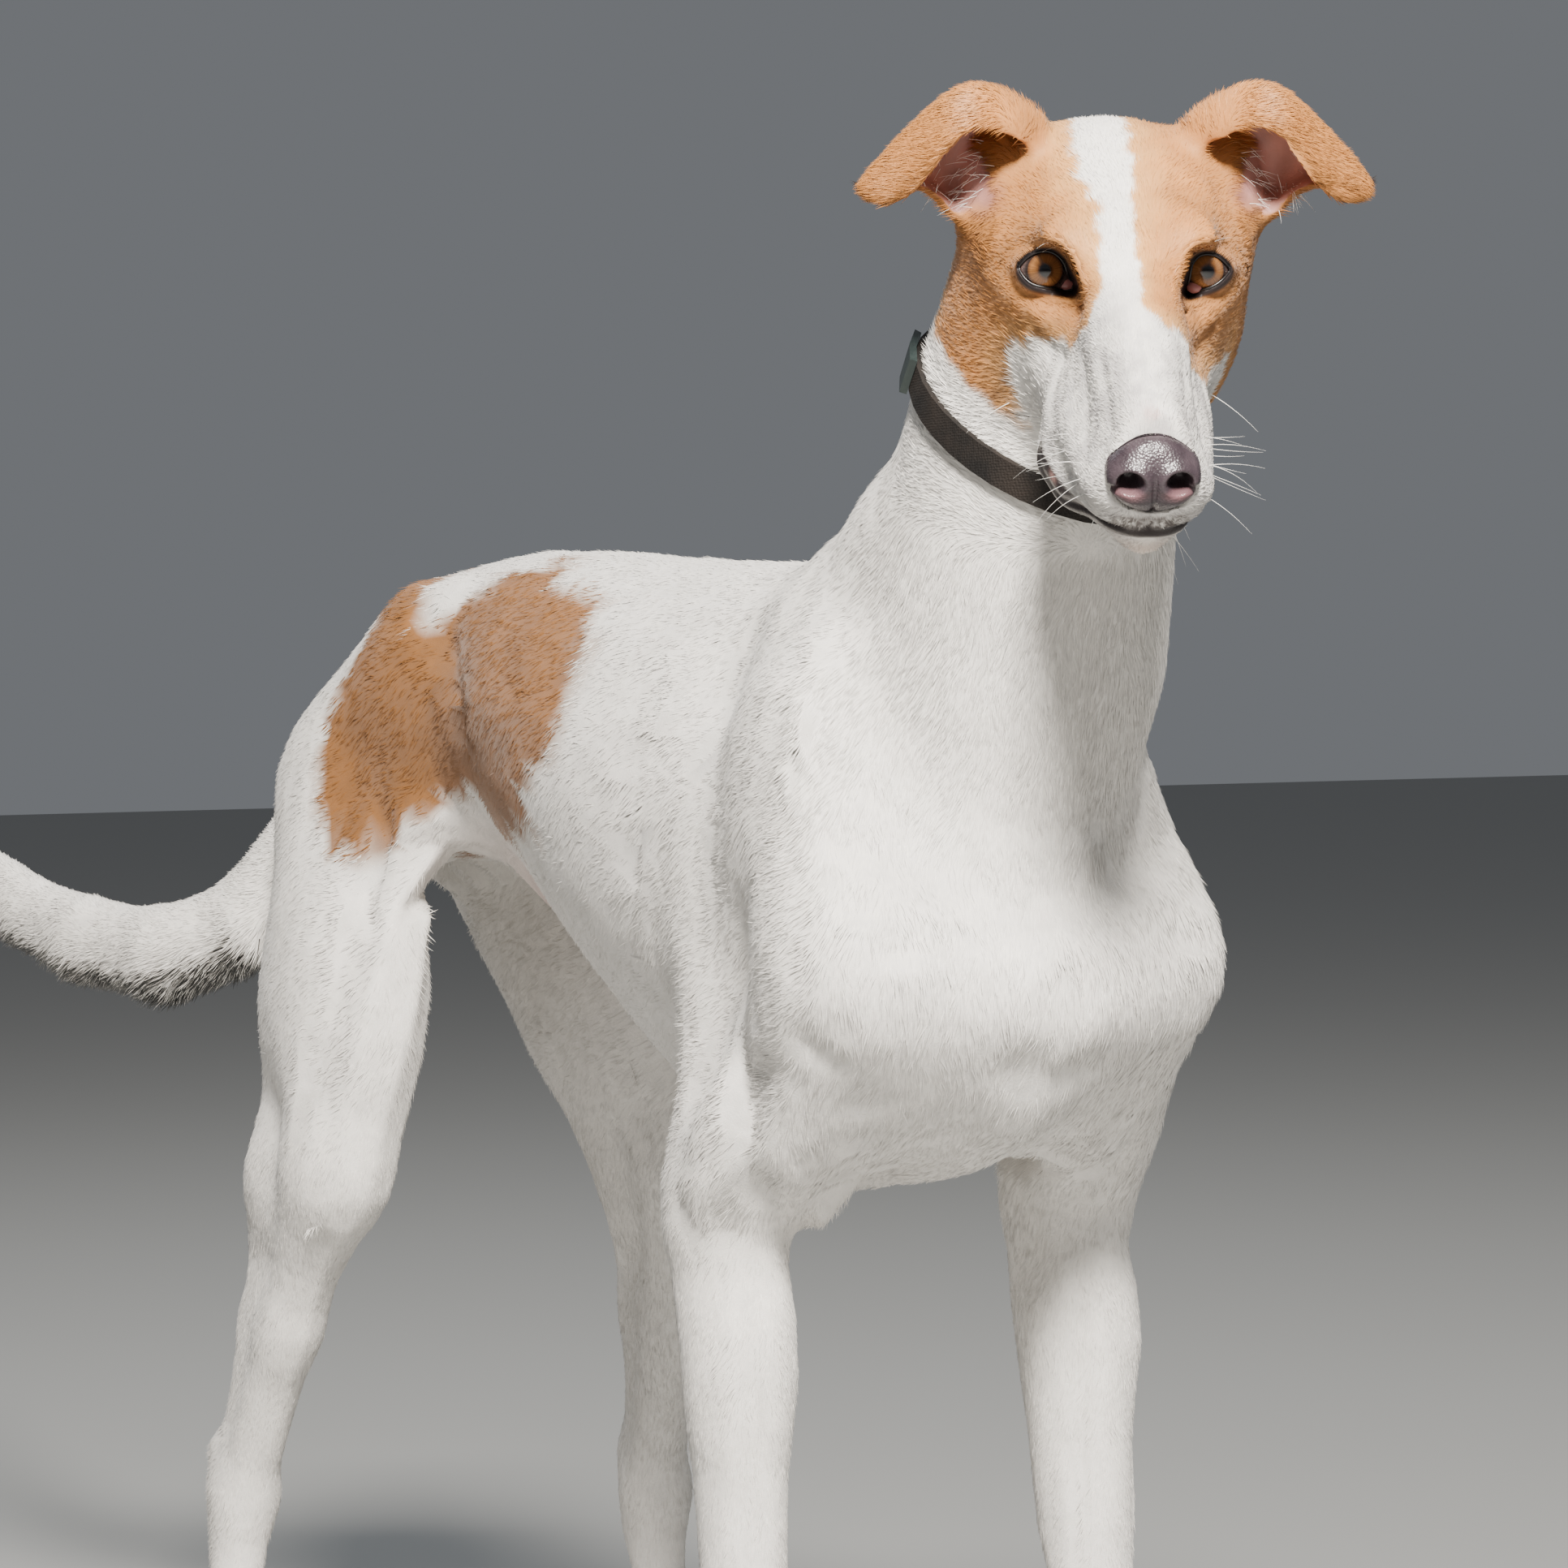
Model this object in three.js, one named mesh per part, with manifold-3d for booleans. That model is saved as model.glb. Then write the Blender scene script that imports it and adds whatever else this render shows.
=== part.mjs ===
// A greyhound dog standing at life size, after a museum model: one still animal in named pieces.
// Millimetres, +Z up. The dog looks along -Y, its left side is +X, and its paws stand on z = 0.
import * as THREE from "three";
import { mergeVertices } from "three/addons/utils/BufferGeometryUtils.js";
import Module from "manifold-3d";

const wasm = await Module();
wasm.setup();

// Driving dimensions
const withers_height = 690;
const brisket_height = 407;
const hip_height = 583;
const elbow_height = 414;
const hock_height = 191;
const stance = { right: 76, left: 97 };
const gap = 0.3;

// A point told as forward, left and up from the middle of the trunk at floor level.
const at = (forward, left, up) => new THREE.Vector3(left, -forward, up);
const { lerp, clamp, smoothstep, degToRad } = THREE.MathUtils;

// Values between stations, by a smooth curve through them. Each station is [place, value, value, ...].
function through(stations, place) {
  const rising = stations[1][0] > stations[0][0];
  let i = 0;
  while (i < stations.length - 2 && (rising ? place > stations[i + 1][0] : place < stations[i + 1][0])) i += 1;
  const before = stations[Math.max(i - 1, 0)];
  const here = stations[i];
  const next = stations[i + 1];
  const after = stations[Math.min(i + 2, stations.length - 1)];
  const span = next[0] - here[0];
  const t = clamp((place - here[0]) / span, 0, 1);
  const slope = (low, high, k) => (high[0] === low[0] ? 0 : ((high[k] - low[k]) / (high[0] - low[0])) * span);
  return here.slice(1).map((value, n) => {
    const k = n + 1;
    const m0 = slope(before, next, k);
    const m1 = slope(here, after, k);
    const t2 = t * t;
    const t3 = t2 * t;
    return (2 * t3 - 3 * t2 + 1) * value + (t3 - 2 * t2 + t) * m0 + (3 * t2 - 2 * t3) * next[k] + (t3 - t2) * m1;
  });
}

// Forms. Each is a function of x, y, z that is negative inside the form, in about millimetres.
// A rod runs from a to b, ra thick at a and rb at b, and is flattened from side to side by `flat`.
function rod(a, ra, b, rb, flat = 1) {
  const dx = b.x - a.x;
  const dy = b.y - a.y;
  const dz = b.z - a.z;
  const squared = dx * dx + dy * dy + dz * dz;
  return (x, y, z) => {
    const t = clamp(((x - a.x) * dx + (y - a.y) * dy + (z - a.z) * dz) / squared, 0, 1);
    const ox = (x - a.x - t * dx) / flat;
    const oy = y - a.y - t * dy;
    const oz = z - a.z - t * dz;
    return (Math.sqrt(ox * ox + oy * oy + oz * oz) - lerp(ra, rb, t)) * Math.min(1, flat);
  };
}

// An egg of radii `size` along the three axes of the turn `turned`.
function egg(centre, size, turned = new THREE.Quaternion()) {
  const back = new THREE.Matrix4().makeRotationFromQuaternion(turned.clone().invert()).elements;
  const least = Math.min(size.x, size.y, size.z);
  return (x, y, z) => {
    const px = x - centre.x;
    const py = y - centre.y;
    const pz = z - centre.z;
    const lx = (back[0] * px + back[4] * py + back[8] * pz) / size.x;
    const ly = (back[1] * px + back[5] * py + back[9] * pz) / size.y;
    const lz = (back[2] * px + back[6] * py + back[10] * pz) / size.z;
    return (Math.sqrt(lx * lx + ly * ly + lz * lz) - 1) * least;
  };
}

// A body is a list of forms that flow into one another over a width `flow`; a form with `cut` is taken away.
function body(list) {
  return (x, y, z) => {
    let d = 1e6;
    for (const { form, flow = 20, cut = false } of list) {
      const e = cut ? -form(x, y, z) : form(x, y, z);
      const h = Math.max(flow - Math.abs(d - e), 0) / flow;
      d = cut ? Math.max(d, e) + (h * h * flow) / 4 : Math.min(d, e) - (h * h * flow) / 4;
    }
    return d;
  };
}

// Trunk: chest, tucked-up belly, arched loin and croup, as sections from the breastbone to the buttocks.
// forward, height of the back, height of the belly, half width
const trunk_sections = [
  [341, 516, 486, 10],
  [328, 576, 452, 44],
  [300, 628, 434, 64],
  [260, 668, 421, 74],
  [215, withers_height - 2, 413, 78],
  [160, 690, brisket_height, 87],
  [100, 692, 419, 92],
  [40, 696, 446, 91],
  [-20, 700, 479, 85],
  [-80, 704, 513, 75],
  [-140, 705, 534, 65],
  [-200, 702, 542, 61],
  [-260, 688, 541, 61],
  [-310, 660, 538, 56],
  [-350, 620, 542, 42],
  [-380, 586, 556, 18],
];

const trunk_front = 344;
function trunk(x, y, z) {
  const [top, bottom, half] = through(trunk_sections, -y);
  const middle = lerp(bottom, top, 0.56);
  const above = z > middle;
  const v = above ? (z - middle) / (top - middle) : (middle - z) / (middle - bottom);
  const narrow = above ? 1 - 0.16 * v * v : 1 - 0.34 * v * v;
  const u = x / (half * Math.max(narrow, 0.3));
  return Math.max((Math.hypot(u, v) - 1) * Math.min(half, 60), -y - trunk_front);
}

// The two sides of the dog mirror each other where the pose is the same. side is -1 on the right, 1 on the left.
const sides = { right: -1, left: 1 };

// Shoulder, upper arm and chest muscle of one side
function shoulder_forms(name) {
  const side = sides[name];
  const s_out = stance[name];
  const s = side * s_out;
  const blade_top = at(190, side * 28, 662);
  const shoulder = at(302, side * 66, 514);
  const elbow = at(196, s, elbow_height);
  return [
    { form: rod(blade_top, 18, shoulder, 28, 0.8), flow: 26 },
    { form: rod(at(226, side * 48, 600), 28, at(286, side * 68, 520), 26, 0.8), flow: 24 },
    { form: rod(at(250, side * 58, 622), 26, at(284, side * 76, 540), 26, 0.85), flow: 30 },
    { form: rod(at(296, side * 72, 508), 27, at(226, side * (s_out + 4), 436), 22, 0.9), flow: 26 },
    { form: rod(shoulder, 31, elbow, 25, 0.95), flow: 22 },
    { form: rod(at(200, side * 64, 570), 34, at(184, s, 440), 21, 0.7), flow: 26 },
    { form: rod(at(313, side * 8, 516), 31, at(291, side * 60, 516), 32), flow: 26 },
    { form: rod(at(318, side * 24, 500), 28, at(252, side * 62, 446), 24), flow: 26 },
    { form: rod(at(178, s, 424), 10, at(176, s, 414), 9), flow: 12 },
  ];
}

// Foreleg: elbow, forearm, carpus, pastern and toes
const forefoot_forward = { right: 236, left: 250 };
function foreleg_forms(name) {
  const s = sides[name] * stance[name];
  const forward = forefoot_forward[name];
  const shift = forward - 236;
  const broad = name === "left" ? 1.02 : 0.84;
  const elbow = at(197, s, elbow_height);
  const carpus = at(209 + shift * 0.7, s, 146);
  const pastern = at(224 + shift, s, 62);
  return [
    { form: rod(elbow, 26, at(206, s, 330), 23, broad), flow: 20 },
    { form: rod(at(188, s, 392), 22, at(198, s, 250), 13, broad), flow: 16 },
    { form: rod(at(206, s, 350), 24, carpus, 15.5, broad), flow: 16 },
    { form: egg(at(210 + shift * 0.7, s, 150), new THREE.Vector3(19, 18, 25)), flow: 14 },
    { form: rod(at(192 + shift * 0.7, s, 138), 7, at(195 + shift * 0.7, s, 132), 7), flow: 10 },
    { form: rod(carpus, 15.5, pastern, 14.5, 1.15), flow: 12 },
    ...paw_forms(at(forward, s, 0), 1),
  ];
}

// Paw of four arched toes round a heel pad. Centre is under the pastern, and size is 1 on a forepaw.
const toe_spread = [
  { side: -22, reach: 20, length: 26, turn: -12 },
  { side: -8.5, reach: 30, length: 34, turn: -4 },
  { side: 8.5, reach: 30, length: 34, turn: 4 },
  { side: 22, reach: 20, length: 26, turn: 12 },
];
function toe_points(paw, size, toe) {
  const turn = degToRad(toe.turn);
  const out = (along, up) =>
    new THREE.Vector3(
      paw.x + size * (toe.side * (0.62 + along * 0.011) + Math.sin(turn) * along * 0.4),
      paw.y - size * (along + toe.reach - 28),
      up * size,
    );
  return { root: out(4, 34), knuckle: out(22, 25), tip: out(36, 13), claw: out(43, 11), point: out(58, 4) };
}
function paw_forms(paw, size) {
  const forms = [
    { form: rod(at(-paw.y - 6, paw.x, 56), 15 * size, at(-paw.y + 2, paw.x, 30), 15 * size, 1.25), flow: 10 },
    { form: egg(at(-paw.y - 2, paw.x, 9), new THREE.Vector3(17 * size, 15 * size, 12)), flow: 8 },
    { form: egg(at(-paw.y + 14 * size, paw.x, 10), new THREE.Vector3(19 * size, 20 * size, 12)), flow: 8 },
  ];
  for (const toe of toe_spread) {
    const p = toe_points(paw, size, toe);
    forms.push({ form: rod(p.root, 9 * size, p.knuckle, 9.2 * size), flow: 5 });
    forms.push({ form: rod(p.knuckle, 9.2 * size, p.tip, 8.4 * size), flow: 4 });
    forms.push({ form: rod(new THREE.Vector3(p.tip.x, p.tip.y + 8, 8), 8.6 * size, p.tip, 8 * size), flow: 4 });
  }
  return forms;
}

// Hind leg: the left foot stands further forward than the right one.
const hind_pose = {
  right: { stifle: [-230, 86, 392], hock: [-358, 95, hock_height], foot: [-352, 108] },
  left: { stifle: [-166, 88, 396], hock: [-244, 104, hock_height], foot: [-236, 106] },
};
function hind_points(name) {
  const side = sides[name];
  const place = (p) => at(p[0], side * p[1], p[2]);
  const pose = hind_pose[name];
  const hock = place(pose.hock);
  return {
    hip: at(-288, side * 56, hip_height),
    seat: at(-350, side * 34, 560),
    stifle: place(pose.stifle),
    hock,
    heel: new THREE.Vector3(hock.x, hock.y + 25, hock.z + 22),
    foot: at(pose.foot[0], side * pose.foot[1], 0),
  };
}
function hindleg_forms(name) {
  const side = sides[name];
  const p = hind_points(name);
  const mix = (a, b, t) => a.clone().lerp(b, t);
  const shin = mix(p.stifle, p.hock, 0.5);
  const calf = mix(p.stifle, p.hock, 0.1).add(at(-58, 0, 0));
  const ankle = at(-p.foot.y - 6, p.foot.x, 62);
  return [
    { form: rod(at(-210, side * 46, 662), 28, p.hip, 34, 0.75), flow: 26 },
    { form: rod(p.hip, 44, mix(p.hip, p.stifle, 0.72), 38, 0.74), flow: 26 },
    { form: rod(at(-196, side * 46, 606), 32, p.stifle, 26, 0.66), flow: 28 },
    { form: rod(p.seat, 30, calf, 28, 0.72), flow: 28 },
    { form: rod(at(-312, side * 48, 578), 34, mix(p.seat, calf, 0.5).add(at(30, side * 8, 0)), 34, 0.76), flow: 26 },
    { form: egg(mix(p.hip, p.stifle, 0.6), new THREE.Vector3(32, 62, 66)), flow: 24 },
    { form: egg(p.stifle, new THREE.Vector3(24, 27, 34)), flow: 22 },
    { form: rod(mix(p.stifle, p.hock, 0.08), 28, shin, 18, 0.8), flow: 22 },
    { form: rod(calf, 25, mix(calf, p.heel, 0.55), 12, 0.72), flow: 22 },
    { form: rod(shin, 18, p.hock, 15.5, 0.9), flow: 14 },
    { form: rod(mix(calf, p.heel, 0.5), 11, p.heel, 9, 0.75), flow: 12 },
    { form: rod(mix(shin, mix(calf, p.heel, 0.4), 0.5), 19, mix(p.hock, p.heel, 0.4), 14, 0.5), flow: 12 },
    { form: egg(p.hock, new THREE.Vector3(18, 20, 23)), flow: 12 },
    { form: rod(p.heel, 9.5, mix(p.heel, ankle, 0.3), 13), flow: 12 },
    { form: rod(p.hock, 15, ankle, 14, 1.0), flow: 12 },
    ...paw_forms(p.foot, 0.94),
  ];
}

// Neck, from between the shoulders to the skull
const neck_line = [
  { point: at(262, 6, 604), half: 66, deep: 84 },
  { point: at(288, 13, 654), half: 61, deep: 68 },
  { point: at(309, 12, 706), half: 53, deep: 60 },
  { point: at(328, 9, 754), half: 44, deep: 55 },
  { point: at(344, 8, 802), half: 41, deep: 51 },
];
const neck_forms = neck_line.slice(1).map((to, i) => {
  const from = neck_line[i];
  return { form: rod(from.point, from.deep, to.point, to.deep, (from.half + to.half) / (from.deep + to.deep)), flow: 22 };
});

// Head frame: a along the muzzle, l to the dog's left, u up from the line between the eyes
const head_turn = degToRad(27.5);
const head_pitch = degToRad(28);
const head_roll = degToRad(0.5);
const between_eyes = at(417, -11, 792);
const head_frame = new THREE.Matrix4()
  .makeTranslation(between_eyes)
  .multiply(new THREE.Matrix4().makeRotationZ(-head_turn))
  .multiply(new THREE.Matrix4().makeRotationX(head_pitch))
  .multiply(new THREE.Matrix4().makeRotationY(head_roll));
const in_head = (a, l, u) => new THREE.Vector3(l, -a, u).applyMatrix4(head_frame);
const head_way = (a, l, u) => new THREE.Vector3(l, -a, u).transformDirection(head_frame);
const head_rotation = new THREE.Quaternion().setFromRotationMatrix(head_frame);

// along the muzzle, top, bottom, half width, height of the widest place
const head_sections = [
  [134, -12, -36, 10, -24],
  [128, -6, -46, 15, -28],
  [120, -3, -59, 17, -34],
  [108, 1, -65, 18.6, -42],
  [92, 5, -68, 21, -46],
  [68, 10, -71, 24.5, -44],
  [44, 15, -74, 28.5, -38],
  [24, 19, -77, 31, -36],
  [6, 23, -79, 37, -30],
  [-14, 30, -82, 44.5, -20],
  [-38, 34, -84, 51.5, -12],
  [-62, 35, -80, 52.5, -12],
  [-86, 30, -66, 46, -8],
  [-106, 18, -44, 34, -6],
  [-116, 6, -22, 13, -6],
];
const head_back = head_frame.clone().invert().elements;
function skull(x, y, z) {
  const l = head_back[0] * x + head_back[4] * y + head_back[8] * z + head_back[12];
  const a = -(head_back[1] * x + head_back[5] * y + head_back[9] * z + head_back[13]);
  const u = head_back[2] * x + head_back[6] * y + head_back[10] * z + head_back[14];
  const [top, bottom, half, widest] = through(head_sections, a);
  const above = u > widest;
  const v = above ? (u - widest) / (top - widest) : (widest - u) / (widest - bottom);
  const edge = above ? 2.05 : 2.1;
  return (Math.pow(Math.pow(Math.abs(l / half), edge) + Math.pow(v, edge), 1 / edge) - 1) * Math.min(half, 28);
}

const head_egg = (a, l, u, along, across, high, turn = 0) =>
  egg(
    in_head(a, l, u),
    new THREE.Vector3(across, along, high),
    head_rotation.clone().multiply(new THREE.Quaternion().setFromAxisAngle(new THREE.Vector3(0, 0, 1), turn)),
  );
const eye_place = { along: -8.5, across: 31, up: -0.6, radius: 11.5, out: degToRad(20), up_turn: degToRad(10) };
function face_forms(side) {
  return [
    { form: head_egg(-40, side * 31.5, 0, 34, 19, 22), flow: 14 },
    { form: head_egg(-48, side * 26, -38, 34, 21, 34), flow: 14 },
    { form: head_egg(4, side * 25, 17, 15, 12, 9), flow: 12 },
    { form: head_egg(0, side * 31, -14, 20, 8, 7, side * 0.5), flow: 10 },
    { form: head_egg(76, side * 18.5, -44, 34, 9, 14), flow: 10 },
    { form: head_egg(112, side * 11, -40, 16, 12, 13), flow: 9 },
    { form: head_egg(44, side * 40, -14, 26, 10, 12, side * -0.1), flow: 16, cut: true },
    { form: head_egg(-46, side * 68, 36, 34, 22, 18), flow: 20, cut: true },
    { form: rod(in_head(-66, side * 42, 6), 20, in_head(-70, side * 44, 20), 17), flow: 14 },
  ];
}
const head_forms = [
  { form: skull, flow: 16 },
  { form: head_egg(-58, 0, 17, 42, 36, 19), flow: 12 },
  { form: head_egg(102, 0, -58, 16, 15, 11), flow: 8 },
  { form: rod(in_head(10, 0, 36), 6, in_head(-45, 0, 50), 8), flow: 12, cut: true },
  ...face_forms(-1),
  ...face_forms(1),
];

// Tail, from its root over its lowest bend to the tip, with half its depth of hair and bone
const tail_line = [
  { point: at(-352, 0, 614), half: 31 },
  { point: at(-390, -25, 566), half: 28 },
  { point: at(-424, -62, 503), half: 27 },
  { point: at(-472, -93, 484), half: 27 },
  { point: at(-550, -119, 490), half: 25 },
  { point: at(-626, -137, 509), half: 22 },
  { point: at(-694, -150, 538), half: 18 },
  { point: at(-748, -160, 586), half: 12 },
  { point: at(-776, -165, 630), half: 4 },
];
const tail_forms = tail_line.slice(1).map((to, i) => {
  const from = tail_line[i];
  return { form: rod(from.point, from.half, to.point, to.half, 0.78), flow: 10 };
});

const whole_dog = body([
  { form: trunk },
  ...neck_forms,
  { form: rod(at(196, -6, 660), 27, at(254, -2, 690), 36, 1.1), flow: 26 },
  ...shoulder_forms("right"),
  ...shoulder_forms("left"),
  { form: rod(at(-150, 0, 532), 11, at(-70, 0, 508), 13), flow: 12 },
  ...head_forms,
]);
const fore = { right: body(foreleg_forms("right")), left: body(foreleg_forms("left")) };
const hind = { right: body(hindleg_forms("right")), left: body(hindleg_forms("left")) };
const tail = body(tail_forms);
const join = (a, b, flow) => {
  const h = Math.max(flow - Math.abs(a - b), 0) / flow;
  return Math.min(a, b) - (h * h * flow) / 4;
};
const front_flesh = (x, y, z) => {
  const forelegs = Math.min(fore.right(x, y, z), fore.left(x, y, z));
  return join(whole_dog(x, y, z), forelegs, 22);
};
const flesh = (x, y, z) => {
  const hindlegs = join(hind.right(x, y, z), hind.left(x, y, z), 14);
  return join(front_flesh(x, y, z), hindlegs, 26);
};

// Cut planes between the pieces: a point on each, and the way to the piece beyond it
const plane = (point, way) => ({ point, way: way.normalize() });
const cuts = {
  neck: plane(at(214, 0, 696), at(0.714, 0, 0.7)),
  head: plane(at(331, 8, 766), at(0.6, 0, 0.8)),
  foreleg_right: plane(at(206, -50, 402), at(0, -0.842, -0.539)),
  foreleg_left: plane(at(206, 60, 402), at(0, 0.842, -0.539)),
  hindleg: plane(at(-134, 0, 494), at(-0.42, 0, -0.9075)),
};
// The thighs begin behind the fold of the flank
const flank_fold = -134;
const beyond = (cut, x, y, z) =>
  (x - cut.point.x) * cut.way.x + (y - cut.point.y) * cut.way.y + (z - cut.point.z) * cut.way.z;

// Where a ray from the middle of a ring leaves the field: steps out, then halves the last step.
function reach(field, centre, way, most) {
  const f = (r) => field(centre.x + way.x * r, centre.y + way.y * r, centre.z + way.z * r);
  let inside = 0;
  let r = 1;
  while (r < most) {
    const d = f(r);
    if (d > 0) break;
    inside = r;
    r += Math.max(-d * 0.5, 0.8);
  }
  let outside = Math.min(r, most);
  for (let i = 0; i < 14; i += 1) {
    const mid = (inside + outside) / 2;
    if (f(mid) > 0) outside = mid;
    else inside = mid;
  }
  return (inside + outside) / 2;
}

// A closed skin of rings. Each ring has a centre, a way along the piece and a way to its first ray.
function skin_of_rings(field, rings, around, most = 200) {
  const positions = [];
  rings.forEach(({ centre, along, first }) => {
    const n = along.clone().normalize();
    const e1 = first.clone().addScaledVector(n, -first.dot(n)).normalize();
    const e2 = n.clone().cross(e1);
    for (let k = 0; k < around; k += 1) {
      const turn = (2 * Math.PI * k) / around;
      const way = e1.clone().multiplyScalar(Math.cos(turn)).addScaledVector(e2, Math.sin(turn));
      const r = reach(field, centre, way, most);
      positions.push(centre.x + way.x * r, centre.y + way.y * r, centre.z + way.z * r);
    }
  });
  return close_rings(positions, rings.length, around, rings[0].centre, rings[rings.length - 1].centre);
}

// Triangles over a stack of rings, with a fan to a point at each end
function close_rings(positions, count, around, start, end) {
  const index = [];
  const at_ring = (i, k) => i * around + (k % around);
  for (let i = 0; i < count - 1; i += 1)
    for (let k = 0; k < around; k += 1) {
      const a = at_ring(i, k);
      const b = at_ring(i, k + 1);
      const c = at_ring(i + 1, k);
      const d = at_ring(i + 1, k + 1);
      if ((i + k) % 2) index.push(a, b, c, b, d, c);
      else index.push(a, b, d, a, d, c);
    }
  const first = positions.length / 3;
  positions.push(start.x, start.y, start.z, end.x, end.y, end.z);
  for (let k = 0; k < around; k += 1) {
    index.push(first, at_ring(0, k + 1), at_ring(0, k));
    index.push(first + 1, at_ring(count - 1, k), at_ring(count - 1, k + 1));
  }
  const geometry = new THREE.BufferGeometry();
  geometry.setAttribute("position", new THREE.Float32BufferAttribute(positions, 3));
  geometry.setIndex(index);
  return geometry;
}

// Joining and cutting of closed geometries
function solid(geometry) {
  const bare = new THREE.BufferGeometry();
  bare.setAttribute("position", geometry.getAttribute("position"));
  if (geometry.index) bare.setIndex(geometry.index);
  const merged = mergeVertices(bare, 1e-3);
  const mesh = new wasm.Mesh({
    numProp: 3,
    vertProperties: new Float32Array(merged.attributes.position.array),
    triVerts: new Uint32Array(merged.index.array),
  });
  return new wasm.Manifold(mesh);
}
function geometry_of(manifold) {
  const largest = manifold.decompose().sort((a, b) => b.volume() - a.volume())[0];
  const mesh = largest.getMesh();
  const positions = new Float32Array(mesh.numVert * 3);
  for (let i = 0; i < mesh.numVert; i += 1)
    positions.set(mesh.vertProperties.subarray(i * mesh.numProp, i * mesh.numProp + 3), i * 3);
  const geometry = new THREE.BufferGeometry();
  geometry.setAttribute("position", new THREE.BufferAttribute(positions, 3));
  geometry.setIndex(new THREE.BufferAttribute(mesh.triVerts, 1));
  return geometry;
}

// A large block that fills the far side of a cut, `margin` beyond it
function far_side(cut, margin, size = 700) {
  const block = new THREE.BoxGeometry(size, size, size);
  const turn = new THREE.Quaternion().setFromUnitVectors(new THREE.Vector3(0, 0, 1), cut.way);
  block.translate(0, 0, size / 2 + margin);
  block.applyQuaternion(turn);
  block.translate(cut.point.x, cut.point.y, cut.point.z);
  return solid(block);
}

const group = new THREE.Group();
const paint = (colour, roughness = 0.8) => new THREE.MeshStandardMaterial({ color: colour, roughness, metalness: 0 });
const coat = paint(0xe9e4df);
const tan = paint(0xc4905f);
const leather = paint(0x4a4246, 0.45);
const horn = paint(0x8a7668, 0.5);
const strap = paint(0x1d1a1a, 0.7);
const plastic = paint(0x20302a, 0.4);
const glassy = paint(0x8a5a2c, 0.1);
function add(name, geometry, material) {
  const mesh = new THREE.Mesh(geometry, material);
  mesh.name = name;
  group.add(mesh);
}

const half_gap = gap / 2;
const steps = (from, to, count) => Array.from({ length: count + 1 }, (_, i) => lerp(from, to, i / count));

// Tail in three lengths, parted across its line. The first is set in a socket in the rump.
const tail_curve = new THREE.CatmullRomCurve3(tail_line.map((t) => t.point), false, "centripetal");
function tail_length(from, to, grow) {
  const total = tail_curve.getLength();
  const field = (x, y, z) => tail(x, y, z) - grow;
  const rings = steps(0, 1, 8).map((t, i) => {
    const away = i === 0 ? half_gap - grow : i === 8 ? grow - half_gap : 0;
    const u = clamp(lerp(from, to, t) + away / total, 0, 1);
    return { centre: tail_curve.getPointAt(u), along: tail_curve.getTangentAt(u), first: at(0, 0, 1) };
  });
  return skin_of_rings(field, rings, 12, 60);
}
const tail_parts = { tail_root: [0.02, 0.33], tail_middle: [0.33, 0.67], tail_tip: [0.67, 0.985] };
for (const [name, [from, to]] of Object.entries(tail_parts)) add(name, tail_length(from, to, 0), coat);
const tail_socket = solid(tail_length(...tail_parts.tail_root, gap));

// Torso: upright rings from the breastbone to the buttocks, trimmed by the planes of the neck and the legs
{
  const slack = 40;
  const field = (x, y, z) => {
    const forward = -y;
    let d = flesh(x, y, z);
    if (forward < 0 && forward > flank_fold) d = lerp(d, front_flesh(x, y, z), smoothstep(beyond(cuts.hindleg, x, y, z), 0, 24));
    if (forward > 150) d = Math.max(d, beyond(cuts.neck, x, y, z) - slack);
    if (forward > 90) {
      d = Math.max(d, beyond(cuts.foreleg_right, x, y, z) - slack, beyond(cuts.foreleg_left, x, y, z) - slack);
    } else if (forward < flank_fold + slack) {
      d = Math.max(d, Math.min(beyond(cuts.hindleg, x, y, z), y + flank_fold + slack) - slack);
    }
    return d;
  };
  const breast = 250 + reach(flesh, at(250, 0, 512), at(1, 0, 0), 150);
  const places = [1, 3.5, 8, 15, 25, 37].map((back) => breast - back);
  places.push(...steps(298, 160, 9), ...steps(142, -70, 8), ...steps(-92, flank_fold + 2, 2));
  places.push(...steps(flank_fold - 2, -384, 13));
  const rings = places.map((forward) => {
    const [top, bottom] = through(trunk_sections, clamp(forward, -378, 338));
    const rear = smoothstep(-forward, 60, 380);
    return {
      centre: at(forward, 0, lerp(lerp(bottom, top, lerp(0.5, 0.7, rear)), 512, smoothstep(forward, 285, 330))),
      along: at(-1, 0, 0),
      first: at(0, 0, 1),
    };
  });
  let torso = solid(skin_of_rings(field, rings, 34, 230));
  torso = torso.subtract(far_side(cuts.neck, -half_gap));
  for (const name of ["foreleg_right", "foreleg_left"]) {
    const front_only = new THREE.BoxGeometry(500, 300, 400).translate(0, -240, 400);
    torso = torso.subtract(far_side(cuts[name], -half_gap).intersect(solid(front_only)));
  }
  const rear_only = new THREE.BoxGeometry(500, 400, 600).translate(0, 200 - flank_fold, 400);
  torso = torso.subtract(far_side(cuts.hindleg, -half_gap).intersect(solid(rear_only)));
  torso = torso.subtract(tail_socket);
  add("torso", geometry_of(torso), coat);
}

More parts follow.
